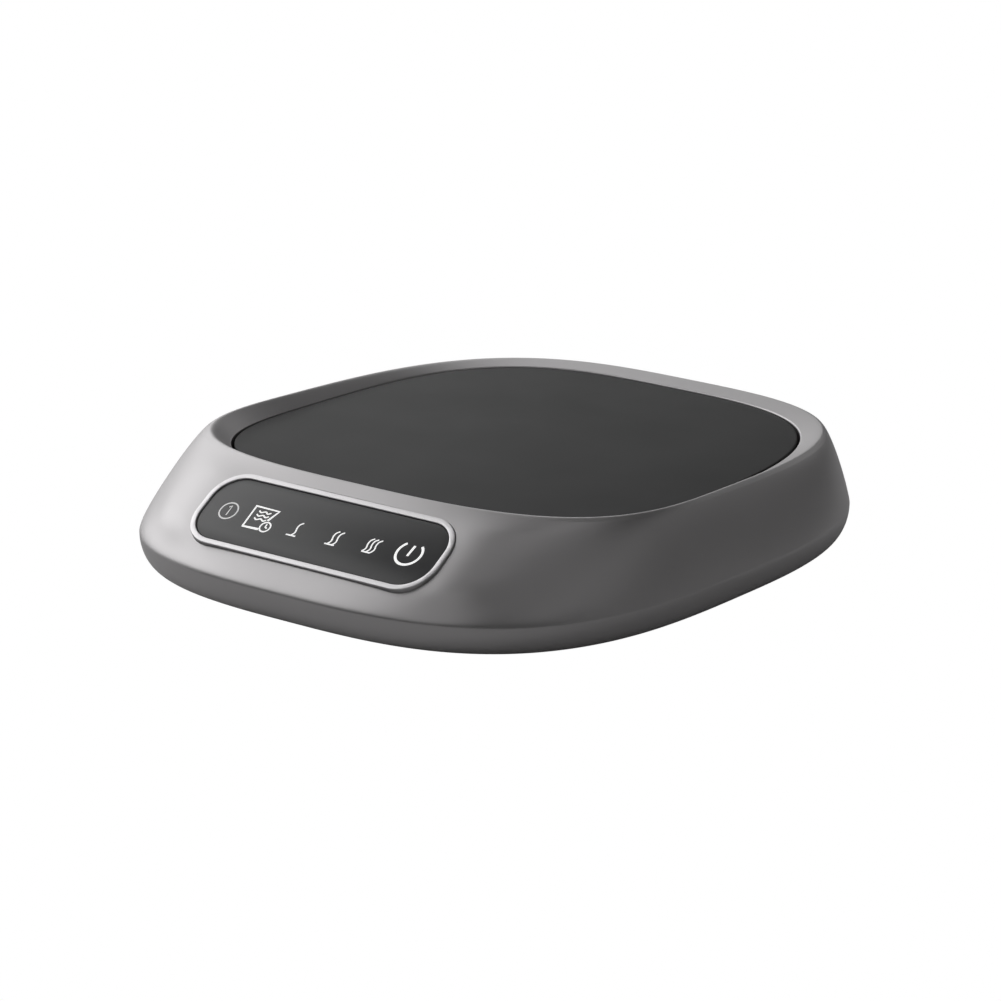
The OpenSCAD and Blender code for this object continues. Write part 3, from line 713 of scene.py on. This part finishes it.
class Finish:
    """A material in the making: its tree, its shader, its grain and the place that patterns read."""

    def __init__(self, name, shade, roughness, metallic=0.0, variation=0.06, roughness_variation=0.06,
                 scale=2500.0, bump=0.01 * MM, stretch=(1, 1, 1), **sockets):
        self.material = bpy.data.materials.new(name)
        self.material.use_nodes = True
        self.tree = self.material.node_tree
        self.shader = self.tree.nodes["Principled BSDF"]
        self.place = self.tree.nodes.new("ShaderNodeTexCoord").outputs["Object"]
        self.shader.inputs["Metallic"].default_value = metallic
        for socket, value in sockets.items():
            self.shader.inputs[socket.replace("_", " ")].default_value = value
        self.grain = self.tree.nodes.new("ShaderNodeGroup")
        self.grain.node_tree = surface_grain_group()
        for socket, value in (("Colour", (*shade, 1)), ("Colour variation", variation),
                              ("Roughness", roughness), ("Roughness variation", roughness_variation),
                              ("Grain scale", scale), ("Bump height", bump)):
            self.grain.inputs[socket].default_value = value
        mapping = add_node(self.tree, "ShaderNodeMapping", Scale=stretch)
        self.tree.links.new(self.place, mapping.inputs["Vector"])
        self.tree.links.new(mapping.outputs["Vector"], self.grain.inputs["Vector"])
        self.colour = self.grain.outputs["Colour"]
        self.tree.links.new(self.colour, self.shader.inputs["Base Color"])
        self.tree.links.new(self.grain.outputs["Roughness"], self.shader.inputs["Roughness"])
        self.tree.links.new(self.grain.outputs["Normal"], self.shader.inputs["Normal"])

    def paint(self, mask, shade, metallic=None):
        """Lays another colour, and metal where asked, over the surface by a mask."""
        layer = add_node(self.tree, "ShaderNodeMix", data_type="RGBA")
        factor, below, above = (layer.inputs[k] for k in (0, 6, 7))
        self.tree.links.new(mask, factor)
        self.tree.links.new(self.colour, below)
        above.default_value = (*shade, 1)
        self.colour = layer.outputs[2]
        self.tree.links.new(self.colour, self.shader.inputs["Base Color"])
        if metallic is not None:
            self.tree.links.new(maths(self.tree, "MULTIPLY", mask, metallic), self.shader.inputs["Metallic"])
        return self

    def along(self, axes):
        """Outputs that give the place along one or more axes."""
        split = self.tree.nodes.new("ShaderNodeSeparateXYZ")
        self.tree.links.new(self.place, split.inputs[0])
        return [split.outputs[axis] for axis in axes]

    def beyond(self, axis, middle, reach):
        """Mask of all that lies further than a reach from the middle along one axis."""
        offset = maths(self.tree, "SUBTRACT", *self.along(axis), middle)
        return maths(self.tree, "GREATER_THAN", maths(self.tree, "ABSOLUTE", offset), reach)

    def stripes(self, axis, pitch, share):
        """Mask of even stripes across one axis, each a share of the pitch wide."""
        phase = maths(self.tree, "FRACT", maths(self.tree, "DIVIDE", *self.along(axis), pitch))
        return maths(self.tree, "LESS_THAN", phase, share)

    def rings(self, centre, pitch, share):
        """Mask of even rings round a centre on the floor's plane."""
        x, y = (maths(self.tree, "SUBTRACT", place, middle)
                for place, middle in zip(self.along("XY"), centre))
        squares = maths(self.tree, "MULTIPLY_ADD", x, x, maths(self.tree, "MULTIPLY", y, y))
        radius = maths(self.tree, "SQRT", squares)
        phase = maths(self.tree, "FRACT", maths(self.tree, "DIVIDE", radius, pitch))
        return maths(self.tree, "LESS_THAN", phase, share)

    def spots(self, scale, reach):
        """Mask of small round spots scattered over the surface."""
        cells = add_node(self.tree, "ShaderNodeTexVoronoi", Scale=scale)
        self.tree.links.new(self.place, cells.inputs["Vector"])
        return maths(self.tree, "LESS_THAN", cells.outputs["Distance"], reach)

    def tracks(self, pitch, thickness):
        """Mask of a net of straight tracks, as on a circuit board."""
        net = add_node(self.tree, "ShaderNodeTexBrick", Scale=1.0, Mortar_Size=thickness,
                       Brick_Width=pitch * 3, Row_Height=pitch)
        self.tree.links.new(self.place, net.inputs["Vector"])
        return net.outputs["Fac"]


def moulded(name, shade, roughness=0.55, **more):
    return Finish(name, shade, roughness, **{"variation": 0.1, "scale": 1800.0, "bump": 0.01 * MM, **more})


def metal(name, shade, roughness=0.35, **more):
    return Finish(name, shade, roughness, **{"metallic": 1.0, "variation": 0.05, "scale": 1500.0,
                                             "bump": 0.003 * MM, **more})


def board(name, shade):
    """Solder mask with tracks under it and tinned pads."""
    finish = moulded(name, shade, 0.35, variation=0.08, scale=900.0, bump=0.004 * MM)
    lighter = tuple(min(1, 1.8 * c) for c in shade)
    finish.paint(finish.tracks(pitch=1.6 * MM, thickness=0.3 * MM), lighter)
    return finish.paint(finish.spots(scale=260.0, reach=0.16), TIN, metallic=0.9)


def housing_finish(shade):
    """Satin metallic paint."""
    return Finish("satin_paint", shade, 0.45, metallic=1.0, variation=0.02, roughness_variation=0.03,
                  scale=5000.0, bump=0.001 * MM)


def plate_finish(shade):
    """Matt heat-proof coating with a fine grain."""
    return Finish("matt_coating", shade, 0.62, variation=0.08, roughness_variation=0.08,
                  scale=3500.0, bump=0.006 * MM, Specular_IOR_Level=0.3)


def bezel_finish(shade):
    """Bright satin plating."""
    return Finish("satin_plating", shade, 0.35, metallic=0.9, variation=0.02, roughness_variation=0.05,
                  scale=6000.0, bump=0.001 * MM)


def lens_finish(shade):
    """Smoked lens with a smooth face."""
    return Finish("smoked_plastic", shade, 0.30, variation=0.02, roughness_variation=0.02,
                  scale=1500.0, bump=0.0003 * MM, Specular_IOR_Level=0.3)


def ink_finish(name, shade, glow):
    """Screen-printed ink, lit from behind."""
    return Finish(name, shade, 0.45, variation=0.04, scale=2500.0, bump=0.002 * MM,
                  Emission_Color=(1, 1, 1, 1), Emission_Strength=glow)


def base_finish(shade):
    """Black plastic with a moulded spark texture."""
    return moulded("base_texture", shade, 0.6, variation=0.16, bump=0.03 * MM, scale=1300.0)


def rubber(name, shade):
    return moulded(name, shade, 0.8, variation=0.12, scale=1500.0, bump=0.02 * MM)


def inner_finishes(shades):
    """Finish of each node that still shows as it was packed."""
    steel = tuple(shades.steel)
    screw = metal("plated_screws", steel, 0.32, scale=4000.0)
    capacitor = moulded("dipped_capacitor", DIPPED_YELLOW, 0.25, bump=0.03 * MM, scale=300.0)
    coil = moulded("wound_coil", TAPE_YELLOW, 0.4, scale=900.0)
    coil.paint(coil.stripes("Y", pitch=0.6 * MM, share=0.5), COPPER, metallic=0.8)
    core = coil.beyond("Y", middle=6 * MM, reach=2.4 * MM)
    coil.paint(maths(coil.tree, "SUBTRACT", 1.0, core), FERRITE)
    fuse = moulded("ceramic_fuse", CERAMIC, 0.25, variation=0.04)
    fuse.paint(fuse.beyond("Y", middle=1 * MM, reach=3.1 * MM), steel, metallic=1.0)
    ribbon = moulded("flat_lead", shades.nylon, 0.45, variation=0.05)
    ribbon.paint(ribbon.stripes("X", pitch=1.27 * MM, share=0.2), tuple(0.75 * c for c in shades.nylon))
    element = moulded("mica_element", MICA, 0.45, variation=0.25, scale=500.0, bump=0.02 * MM)
    element.paint(element.rings((0, HEATER_Y), pitch=2.4 * MM, share=0.45), steel, metallic=0.9)
    pad = moulded("felted_fibre", shades.fibre, 0.95, variation=0.2, scale=700.0, bump=0.12 * MM,
                  stretch=(1, 1, 4))
    leds = moulded("led_lens", CERAMIC, 0.3, variation=0.05)
    leds.paint(leds.spots(scale=900.0, reach=0.2), DIPPED_YELLOW)
    clamp = moulded("nylon_clamp", shades.nylon, 0.4, variation=0.05, Subsurface_Weight=0.15,
                    Subsurface_Scale=1 * MM)
    diffuser = moulded("milky_diffuser", MILKY, 0.5, variation=0.03, scale=900.0)
    carrier = moulded("glass_filled_carrier", GLASS_FILLED, 0.5, variation=0.5, scale=900.0,
                      stretch=(1, 6, 1))
    sensor = moulded("potted_sensor", POTTING, 0.35, variation=0.15)
    sensor.paint(sensor.spots(scale=1500.0, reach=0.12), TIN)
    shield = metal("rolled_aluminium", ALUMINIUM, 0.3, stretch=(1, 25, 1), scale=700.0)
    spring = metal("drawn_wire", SPRING_WIRE, 0.3, stretch=(1, 1, 12))
    retainer = metal("pressed_steel", steel, 0.4, stretch=(18, 1, 1), scale=600.0)
    relay = moulded("relay_case", RELAY_BLACK, 0.3, scale=2600.0)
    chip = moulded("chip_epoxy", CHIP_BLACK, 0.65, scale=5200.0)
    switch = moulded("switch_case", SWITCH_BLACK, 0.45, bump=0.015 * MM)
    finishes = {
        "base_cover": base_finish(shades.base),
        "cord_clamp": clamp,
        "icon_diffuser": diffuser,
        "light_shield": moulded("light_grid", INNER_BLACK, 0.7),
        "touch_board": board("touch_board_mask", shades.board),
        "touch_chip": chip,
        "indicator_leds": leds,
        "key_ribbon": ribbon,
        "power_board": board("power_board_mask", tuple(0.8 * c for c in shades.board)),
        "slim_relay": relay,
        "filter_capacitor": capacitor,
        "supply_coil": coil,
        "mains_fuse": fuse,
        "terminal_block": moulded("terminal_plastic", TERMINAL_GREEN, 0.4),
        "heat_shield": shield,
        "micro_switch": switch,
        "switch_plunger": moulded("plunger_plastic", PLUNGER_RED, 0.3, variation=0.06),
        "plate_springs": spring,
        "plate_carrier": carrier,
        "heating_element": element,
        "insulation_pad": pad,
        "heater_retainer": retainer,
        "thermistor": sensor,
        "thermal_fuse": metal("thermal_fuse_case", FUSE_METAL, 0.3),
    }
    for name in ("clamp_screws", "touch_board_screws", "power_board_screws", "heat_shield_screws",
                 "retainer_screws"):
        finishes[name] = screw
    return finishes


# ---------- Stage ----------

CAMERA_EYE = Vector((0.51285, -0.65240, 0.26668))
CAMERA_AIM = Vector((0, 0.0045, 0.002))
CAMERA_LENS = 146.72            # focal length in millimetres, on a sensor of the width below
CAMERA_SENSOR = 36
CAMERA_SHIFT = (-0.01235, 0.03476)
CAMERA_NEAR = 0.01
FLOOR_SIDE = 8

# Square softboxes round the object: azimuth and elevation in degrees, power in watts
SOFTBOXES = (
    (160, 8, 1.19), (180, 8, 2.01),
    (90, 25, 0.78), (130, 25, 1.54), (150, 25, 1.46), (190, 25, 2.09),
    (10, 25, 0.43), (50, 25, 0.36),
    (170, 42, 2.38), (210, 42, 2.31), (270, 42, 1.0), (340, 42, 0.54),
    (0, 85, 0.84),
)
SOFTBOX_SIDE = 0.7
SOFTBOX_DISTANCE = 1.3
SOFTBOX_AIM = Vector((0, 0, 12 * MM))
ROOM_LIGHT = 0.02


class WARMER_OT_stage(Operator):
    """Sets the camera, the floor and the soft studio lights"""
    bl_idname = "warmer.stage"
    bl_label = "Stage"

    def execute(self, context):
        scene = context.scene
        self.camera(scene)
        deselect()
        bpy.ops.mesh.primitive_plane_add(size=FLOOR_SIDE, location=(0, 0, 0))
        floor = added("floor")
        floor.data.materials.append(self.floor_material())
        for azimuth, elevation, power in SOFTBOXES:
            self.softbox(scene, math.radians(azimuth), math.radians(elevation), power)
        self.world(scene)
        scene.view_settings.view_transform = "Standard"
        return {"FINISHED"}

    def camera(self, scene):
        data = bpy.data.cameras.new("camera")
        camera = bpy.data.objects.new("camera", data)
        scene.collection.objects.link(camera)
        camera.location = CAMERA_EYE
        camera.rotation_euler = (CAMERA_AIM - CAMERA_EYE).to_track_quat("-Z", "Y").to_euler()
        data.sensor_width = CAMERA_SENSOR
        data.lens = CAMERA_LENS
        data.shift_x, data.shift_y = CAMERA_SHIFT
        data.clip_start = CAMERA_NEAR
        scene.camera = camera

    def floor_material(self):
        """White to the camera, a pale floor to the object and clear from below."""
        material = bpy.data.materials.new("floor_paint")
        material.use_nodes = True
        tree = material.node_tree
        paint = tree.nodes["Principled BSDF"]
        paint.inputs["Base Color"].default_value = (0.8, 0.8, 0.8, 1)
        paint.inputs["Roughness"].default_value = 0.9
        white = add_node(tree, "ShaderNodeEmission", Color=(1, 1, 1, 1), Strength=1.0)
        clear = tree.nodes.new("ShaderNodeBsdfTransparent")
        seen, side = tree.nodes.new("ShaderNodeMixShader"), tree.nodes.new("ShaderNodeMixShader")
        path, geometry = tree.nodes.new("ShaderNodeLightPath"), tree.nodes.new("ShaderNodeNewGeometry")
        tree.links.new(path.outputs["Is Camera Ray"], seen.inputs[0])
        tree.links.new(paint.outputs[0], seen.inputs[1])
        tree.links.new(white.outputs[0], seen.inputs[2])
        tree.links.new(geometry.outputs["Backfacing"], side.inputs[0])
        tree.links.new(seen.outputs[0], side.inputs[1])
        tree.links.new(clear.outputs[0], side.inputs[2])
        tree.links.new(side.outputs[0], tree.nodes["Material Output"].inputs["Surface"])
        return material

    def softbox(self, scene, azimuth, elevation, power):
        data = bpy.data.lights.new("softbox", "AREA")
        data.shape = "SQUARE"
        data.size = SOFTBOX_SIDE
        data.energy = power
        lamp = bpy.data.objects.new("softbox", data)
        scene.collection.objects.link(lamp)
        level = math.cos(elevation)
        direction = Vector((level * math.cos(azimuth), level * math.sin(azimuth), math.sin(elevation)))
        lamp.location = SOFTBOX_AIM + SOFTBOX_DISTANCE * direction
        lamp.rotation_euler = (-direction).to_track_quat("-Z", "Y").to_euler()
        lamp.visible_camera = False

    def world(self, scene):
        world = bpy.data.worlds.new("studio")
        scene.world = world
        world.use_nodes = True
        world.node_tree.nodes["Background"].inputs["Color"].default_value = (1, 1, 1, 1)
        world.node_tree.nodes["Background"].inputs["Strength"].default_value = ROOM_LIGHT


# ---------- Pieces ----------

class WARMER_OT_housing(Operator):
    """Models the upper housing as one moulded shell with its panel seat, posts and bosses"""
    bl_idname = "warmer.housing"
    bl_label = "Upper housing"

    def execute(self, context):
        sizes, panel = context.scene.warmer_housing, context.scene.warmer_panel
        shell = wrapped("housing_shell", housing_rows(sizes, context.scene.warmer_plate))
        face_outwards(shell)
        fuse(shell, panel_pill("ledge", panel, -LEDGE_MARGIN, LEDGE_LOW, LEDGE_TOP - LEDGE_LAP))
        fuse(shell, *self.bosses(), entry_rod("seat", *GLAND_SEAT),
             *self.posts(panel, TOUCH_POST_RADIUS, LEDGE_LOW - TOUCH_POST_LAP, TOUCH_POST_DEEP))
        fuse(shell, *self.webs())
        cut(shell, panel_pill("seat", panel, -PANEL_FIT, LEDGE_TOP, -PANEL_ABOVE))
        cut(shell, panel_pill("window", panel, WINDOW_LAP, LEDGE_LOW + WINDOW_PAST, -PANEL_ABOVE))
        pilot_top = TOUCH_POST_DEEP - TOUCH_PILOT_DEEP
        cut(shell, *self.boss_pilots(),
            *self.posts(panel, TOUCH_PILOT_RADIUS, pilot_top, TOUCH_POST_DEEP + CLEAR),
            entry_rod("neck", GLAND_NECK + GLAND_FIT, *GLAND_HOLE))
        cut(shell, entry_rod("flange", GLAND_FLANGE + 2 * GLAND_FIT, GLAND_FACE, GLAND_HOLE[1]))
        smooth(shell)
        finish_piece(shell, "base", "housing_plastic", housing_finish(context.scene.warmer_colours.housing),
                     "upper_housing")
        return {"FINISHED"}

    def bosses(self):
        return [rod("boss", x, y, radius, TOWER_TOP, high)
                for (x, y), radius, high in zip(SCREW_TOWERS, BOSS_RADII, BOSS_TOPS)]

    def webs(self):
        """Webs that tie the rear bosses to the back wall."""
        return [block("web", x, y + WEB_SIZE[1] / 2, WEB_SIZE, TOWER_TOP, high)
                for (x, y), high in list(zip(SCREW_TOWERS, BOSS_TOPS))[2:]]

    def boss_pilots(self):
        return [rod("pilot", x, y, BOSS_PILOT_RADIUS, TOWER_TOP - CLEAR, BOSS_PILOT_TOP)
                for x, y in SCREW_TOWERS]

    def posts(self, panel, radius, shallow, deep):
        """Rods behind the panel where the touch board is screwed on."""
        place = panel_place(panel)
        return [rod("post", x, y, radius, -deep, -shallow, sides=32, place=place) for x, y in TOUCH_POSTS]


class WARMER_OT_plate(Operator):
    """Models the heating plate with its rounded edge and matt coating"""
    bl_idname = "warmer.plate"
    bl_label = "Heating plate"

    def execute(self, context):
        sizes = context.scene.warmer_plate
        outer, low = plate_level(sizes), sizes.top - sizes.thickness
        edge_steps = 5
        levels = [at_height(drawn_in(outer, PLATE_ROUND), low), at_height(outer, low + PLATE_ROUND)]
        for k in range(edge_steps + 1):
            turn = math.pi / 2 * k / edge_steps
            levels.append(at_height(drawn_in(outer, PLATE_ROUND * (1 - math.cos(turn))),
                                    sizes.top - PLATE_ROUND * (1 - math.sin(turn))))
        points = context.scene.warmer_housing.points
        plate = wrapped("warming_plate", [ring(level, points) for level in levels])
        close_end(plate, low)
        close_end(plate, sizes.top)
        face_outwards(plate)
        smooth(plate)
        finish_piece(plate, "plate", "coated_aluminium", plate_finish(context.scene.warmer_colours.plate),
                     "heating_plate")
        return {"FINISHED"}


class WARMER_OT_panel(Operator):
    """Models the bright bezel and the smoked lens of the control panel"""
    bl_idname = "warmer.panel"
    bl_label = "Control panel"

    def execute(self, context):
        sizes, shades = context.scene.warmer_panel, context.scene.warmer_colours
        bezel = self.bezel(sizes)
        finish_piece(bezel, "base", "bezel_metal", bezel_finish(shades.bezel), "lens_bezel")
        lens = self.lens(sizes)
        finish_piece(lens, "base", "lens_plastic", lens_finish(shades.lens), "control_lens")
        return {"FINISHED"}

    def bezel(self, sizes):
        thickness = LEDGE_TOP + sizes.proud
        bezel = pill("bezel_frame", sizes.length, sizes.height, sizes.corner, thickness, PANEL_SEGMENTS)
        opening = pill("opening", sizes.length - 2 * sizes.band, sizes.height - 2 * sizes.band,
                       sizes.corner - sizes.band, thickness + 2 * CLEAR, PANEL_SEGMENTS)
        apply_place(opening, Matrix.Translation((0, 0, CLEAR)))
        cut(bezel, opening)
        soften(bezel, BEZEL_ROUND, segments=5)
        apply_place(bezel, panel_place(sizes, -sizes.proud))
        smooth(bezel, degrees=50)
        return bezel

    def lens(self, sizes):
        inset = sizes.band + LENS_GAP
        lens = pill("smoked_lens", sizes.length - 2 * inset, sizes.height - 2 * inset,
                    sizes.corner - inset, LEDGE_TOP - LENS_SINK, PANEL_SEGMENTS)
        soften(lens, LENS_ROUND)
        apply_place(lens, panel_place(sizes, LENS_SINK))
        smooth(lens, degrees=50)
        return lens


class WARMER_OT_signs(Operator):
    """Draws the printed touch signs on the lens"""
    bl_idname = "warmer.signs"
    bl_label = "Touch signs"

    def execute(self, context):
        sizes, shade = context.scene.warmer_panel, context.scene.warmer_colours.sign
        lit, dim = ink_finish("lit_ink", shade, 0.6), ink_finish("dim_ink", shade, 0.25)
        for name, strokes in self.signs().items():
            parts = [self.stroke(points, closed, width) for points, closed, width in strokes]
            sign = joined(name, parts)
            apply_place(sign, panel_place(sizes, LENS_SINK - INK_PROUD))
            smooth(sign, degrees=60)
            finish_piece(sign, "base", "lens_plastic", dim if name == "timer_sign" else lit)
        return {"FINISHED"}

    def signs(self):
        """Strokes of each sign on the panel's plane, in millimetres: points, closed or not, width."""
        signs = {
            "timer_sign": [
                (self.arc((-24.4, -0.5), 2.15, 0, 360), True, FINE),
                ([(-24.85, 0.4), (-24.3, 0.9), (-24.3, -1.7)], False, FINE)],
            "programme_sign": [
                ([(-14.45, -3.2), (-18.6, -3.3), (-18.75, 2.3), (-12.5, 2.2), (-13.7, -0.65)], False, BOLD),
                (self.arc((-13.2, -2.3), 1.25, 0, 360), True, FINE),
                ([(-13.2, -1.5), (-13.2, -2.3), (-12.6, -2.55)], False, FINE)],
            "power_sign": [
                (self.arc((23.2, -0.2), 2.95, 130, 410), False, BOLD),
                ([(23.15, -0.9), (23.4, 1.9)], False, BOLD)],
        }
        for v in (1.15, 0.17, -0.81):
            signs["programme_sign"].append((through([(-17.3, v + 0.2), (-16.6, v - 0.2), (-15.6, v + 0.2),
                                                     (-14.8, v - 0.2), (-14.1, v + 0.2)]), False, FINE))
        for name, left, right, low, count in (("low_heat_sign", -7.3, -4.8, -2.75, 1),
                                              ("medium_heat_sign", 2.85, 5.35, -2.65, 2),
                                              ("high_heat_sign", 12.35, 14.45, -2.35, 3)):
            signs[name] = [([(left, low), (right, low)], False, FINE)]
            for k in range(count):
                start = mix(left, right, (k + 0.5) / count if count < 3 else k / 2)
                signs[name].append((self.wisp(start, low), False, FINE))
        return signs

    def arc(self, centre, radius, start, end, steps=48):
        """Points round a centre; a whole turn leaves its last point out."""
        count = steps if end - start >= 360 else steps + 1
        turns = [math.radians(mix(start, end, k / steps)) for k in range(count)]
        return [(centre[0] + radius * math.cos(t), centre[1] + radius * math.sin(t)) for t in turns]

    def wisp(self, u, v):
        """A rising wisp of steam."""
        bends = ((0, 0), (0.55, 0.9), (0.3, 2.1), (0.45, 3.0), (1.1, 3.6))
        return through([(u + x, v + y) for x, y in bends])

    def stroke(self, points, closed, width):
        """A line of ink: a tube along the points, pressed flat."""
        curve = bpy.data.curves.new("stroke", "CURVE")
        curve.dimensions = "3D"
        curve.bevel_depth = width * MM / 2
        curve.bevel_resolution = 2
        curve.use_fill_caps = True
        line = curve.splines.new("POLY")
        line.points.add(len(points) - 1)
        for point, (u, v) in zip(line.points, points):
            point.co = (u * MM, v * MM, 0, 1)
        line.use_cyclic_u = closed
        piece = bpy.data.objects.new("stroke", curve)
        bpy.context.scene.collection.objects.link(piece)
        pick(piece)
        bpy.ops.object.convert(target="MESH")
        piece = bpy.context.object
        piece.scale = (1, 1, INK_PRESS)
        apply_place(piece)
        edit(piece)
        bpy.ops.mesh.remove_doubles(threshold=MERGE)
        leave()
        face_outwards(piece)
        return piece


class WARMER_OT_feet(Operator):
    """Models the four rubber feet with their hollow tread"""
    bl_idname = "warmer.feet"
    bl_label = "Rubber feet"

    def execute(self, context):
        foot = rod("foot", 0, 0, FOOT_RADIUS, FOOT_LOW.z, FOOT_HIGH.z, 64)
        edit_underside(foot)
        bpy.ops.mesh.inset(thickness=FOOT_SLOPE)
        bpy.ops.transform.translate(value=(0, 0, FOOT_RISE))
        bpy.ops.mesh.inset(thickness=FOOT_RING)
        bpy.ops.mesh.inset(thickness=FOOT_STEP)
        bpy.ops.transform.translate(value=(0, 0, FOOT_RISE))
        leave()
        soften(foot, FOOT_ROUND, degrees=35)
        feet = spread("tread_feet", foot, FEET)
        smooth(feet)
        finish = rubber("foot_rubber", context.scene.warmer_colours.rubber)
        finish_piece(feet, "base", "foot_rubber", finish, "rubber_feet")
        return {"FINISHED"}


class WARMER_OT_screws(Operator):
    """Models the case screws with a cross recess and a cut thread"""
    bl_idname = "warmer.screws"
    bl_label = "Case screws"

    def execute(self, context):
        seat = SCREW_LOW.z + SCREW_HEAD_HIGH
        head = rod("screw", 0, 0, SCREW_HEAD_RADIUS, SCREW_LOW.z, seat)
        edit_underside(head)
        bpy.ops.mesh.bevel(offset=SCREW_HEAD_ROUND, segments=5, affect="EDGES")
        leave()
        arms = [block("arm", 0, 0, SCREW_CROSS, SCREW_LOW.z - CLEAR, SCREW_LOW.z + SCREW_CROSS_DEEP)]
        arms.append(copied(arms[0], Matrix.Rotation(math.pi / 2, 4, "Z")))
        for arm in arms:
            cut(head, arm)
        fuse(head, self.shank(seat - SCREW_SHANK_LAP, SCREW_HIGH.z))
        screws = spread("cross_screws", head, SCREW_TOWERS)
        smooth(screws)
        finish = metal("zinc_plating", context.scene.warmer_colours.steel, 0.3, scale=4000.0)
        finish_piece(screws, "base", "screw_steel", finish, "case_screws")
        return {"FINISHED"}

    def shank(self, low, high, sides=32, steps=70):
        """A threaded rod with a blunt point, whose radius goes by the height and the turn."""
        rows = []
        for k in range(steps + 1):
            z = mix(low, high, k / steps)
            share = mix(SCREW_POINT, 1, ease((high - z) / SCREW_POINT_LENGTH))
            row = []
            for m in range(sides + 1):
                phase = (z / SCREW_PITCH - m / sides) % 1
                radius = share * mix(SCREW_CORE_RADIUS, SCREW_SHANK_RADIUS, abs(2 * phase - 1) ** 2)
                turn = 2 * math.pi * m / sides
                row.append(Vector((radius * math.cos(turn), radius * math.sin(turn), z)))
            rows.append(row)
        shank = wrapped("shank", rows)
        close_end(shank, low)
        close_end(shank, high)
        face_outwards(shank)
        return shank


class WARMER_OT_gland(Operator):
    """Models the rubber bush in the back wall with its flange and collar"""
    bl_idname = "warmer.gland"
    bl_label = "Cord gland"

    def execute(self, context):
        bush = entry_rod("bush", GLAND_NECK, GLAND_SEAT[1] - GLAND_LAP, GLAND_FACE + GLAND_LAP)
        fuse(bush, entry_rod("collar", GLAND_COLLAR, GLAND_LOW.y, GLAND_SEAT[1]),
             entry_rod("flange", GLAND_FLANGE, GLAND_FACE, GLAND_HIGH.y))
        cut(bush, entry_rod("bore", GLAND_BORE, GLAND_LOW.y - CLEAR, GLAND_HIGH.y + CLEAR))
        soften(bush, GLAND_ROUND, segments=4)
        bush.name = bush.data.name = "cord_bush"
        smooth(bush)
        finish = rubber("gland_rubber", context.scene.warmer_colours.rubber)
        finish_piece(bush, "base", "gland_rubber", finish, "cord_gland")
        return {"FINISHED"}


class WARMER_OT_inner(Operator):
    """Gives the base cover, the fasteners and everything inside the case its own finish"""
    bl_idname = "warmer.inner"
    bl_label = "Frame finishes"

    def execute(self, context):
        for name, finish in inner_finishes(context.scene.warmer_colours).items():
            coat(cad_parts[name], finish)
        return {"FINISHED"}


class WARMER_PT_panel(Panel):
    """Lists the steps that dress the mug warmer"""
    bl_label = "Mug warmer"
    bl_space_type = "VIEW_3D"
    bl_region_type = "UI"
    bl_category = "Mug warmer"

    def draw(self, context):
        layout = self.layout
        for group in (context.scene.warmer_housing, context.scene.warmer_plate,
                      context.scene.warmer_panel, context.scene.warmer_colours):
            box = layout.box()
            for name in group.__annotations__:
                box.prop(group, name)
        for step in STEPS:
            layout.operator(step.bl_idname)


STEPS = (WARMER_OT_stage, WARMER_OT_inner, WARMER_OT_housing, WARMER_OT_plate, WARMER_OT_panel,
         WARMER_OT_signs, WARMER_OT_feet, WARMER_OT_screws, WARMER_OT_gland)
CLASSES = (HousingSizes, PlateSizes, PanelSizes, Colours, *STEPS, WARMER_PT_panel)


def register():
    for cls in CLASSES:
        bpy.utils.register_class(cls)
    bpy.types.Scene.warmer_housing = PointerProperty(type=HousingSizes)
    bpy.types.Scene.warmer_plate = PointerProperty(type=PlateSizes)
    bpy.types.Scene.warmer_panel = PointerProperty(type=PanelSizes)
    bpy.types.Scene.warmer_colours = PointerProperty(type=Colours)


def unregister():
    for name in ("warmer_housing", "warmer_plate", "warmer_panel", "warmer_colours"):
        delattr(bpy.types.Scene, name)
    for cls in reversed(CLASSES):
        bpy.utils.unregister_class(cls)


def main():
    register()
    bpy.ops.warmer.stage()
    bpy.ops.warmer.inner()
    bpy.ops.warmer.housing()
    bpy.ops.warmer.plate()
    bpy.ops.warmer.panel()
    bpy.ops.warmer.signs()
    bpy.ops.warmer.feet()
    bpy.ops.warmer.screws()
    bpy.ops.warmer.gland()


if __name__ == "__main__":
    main()
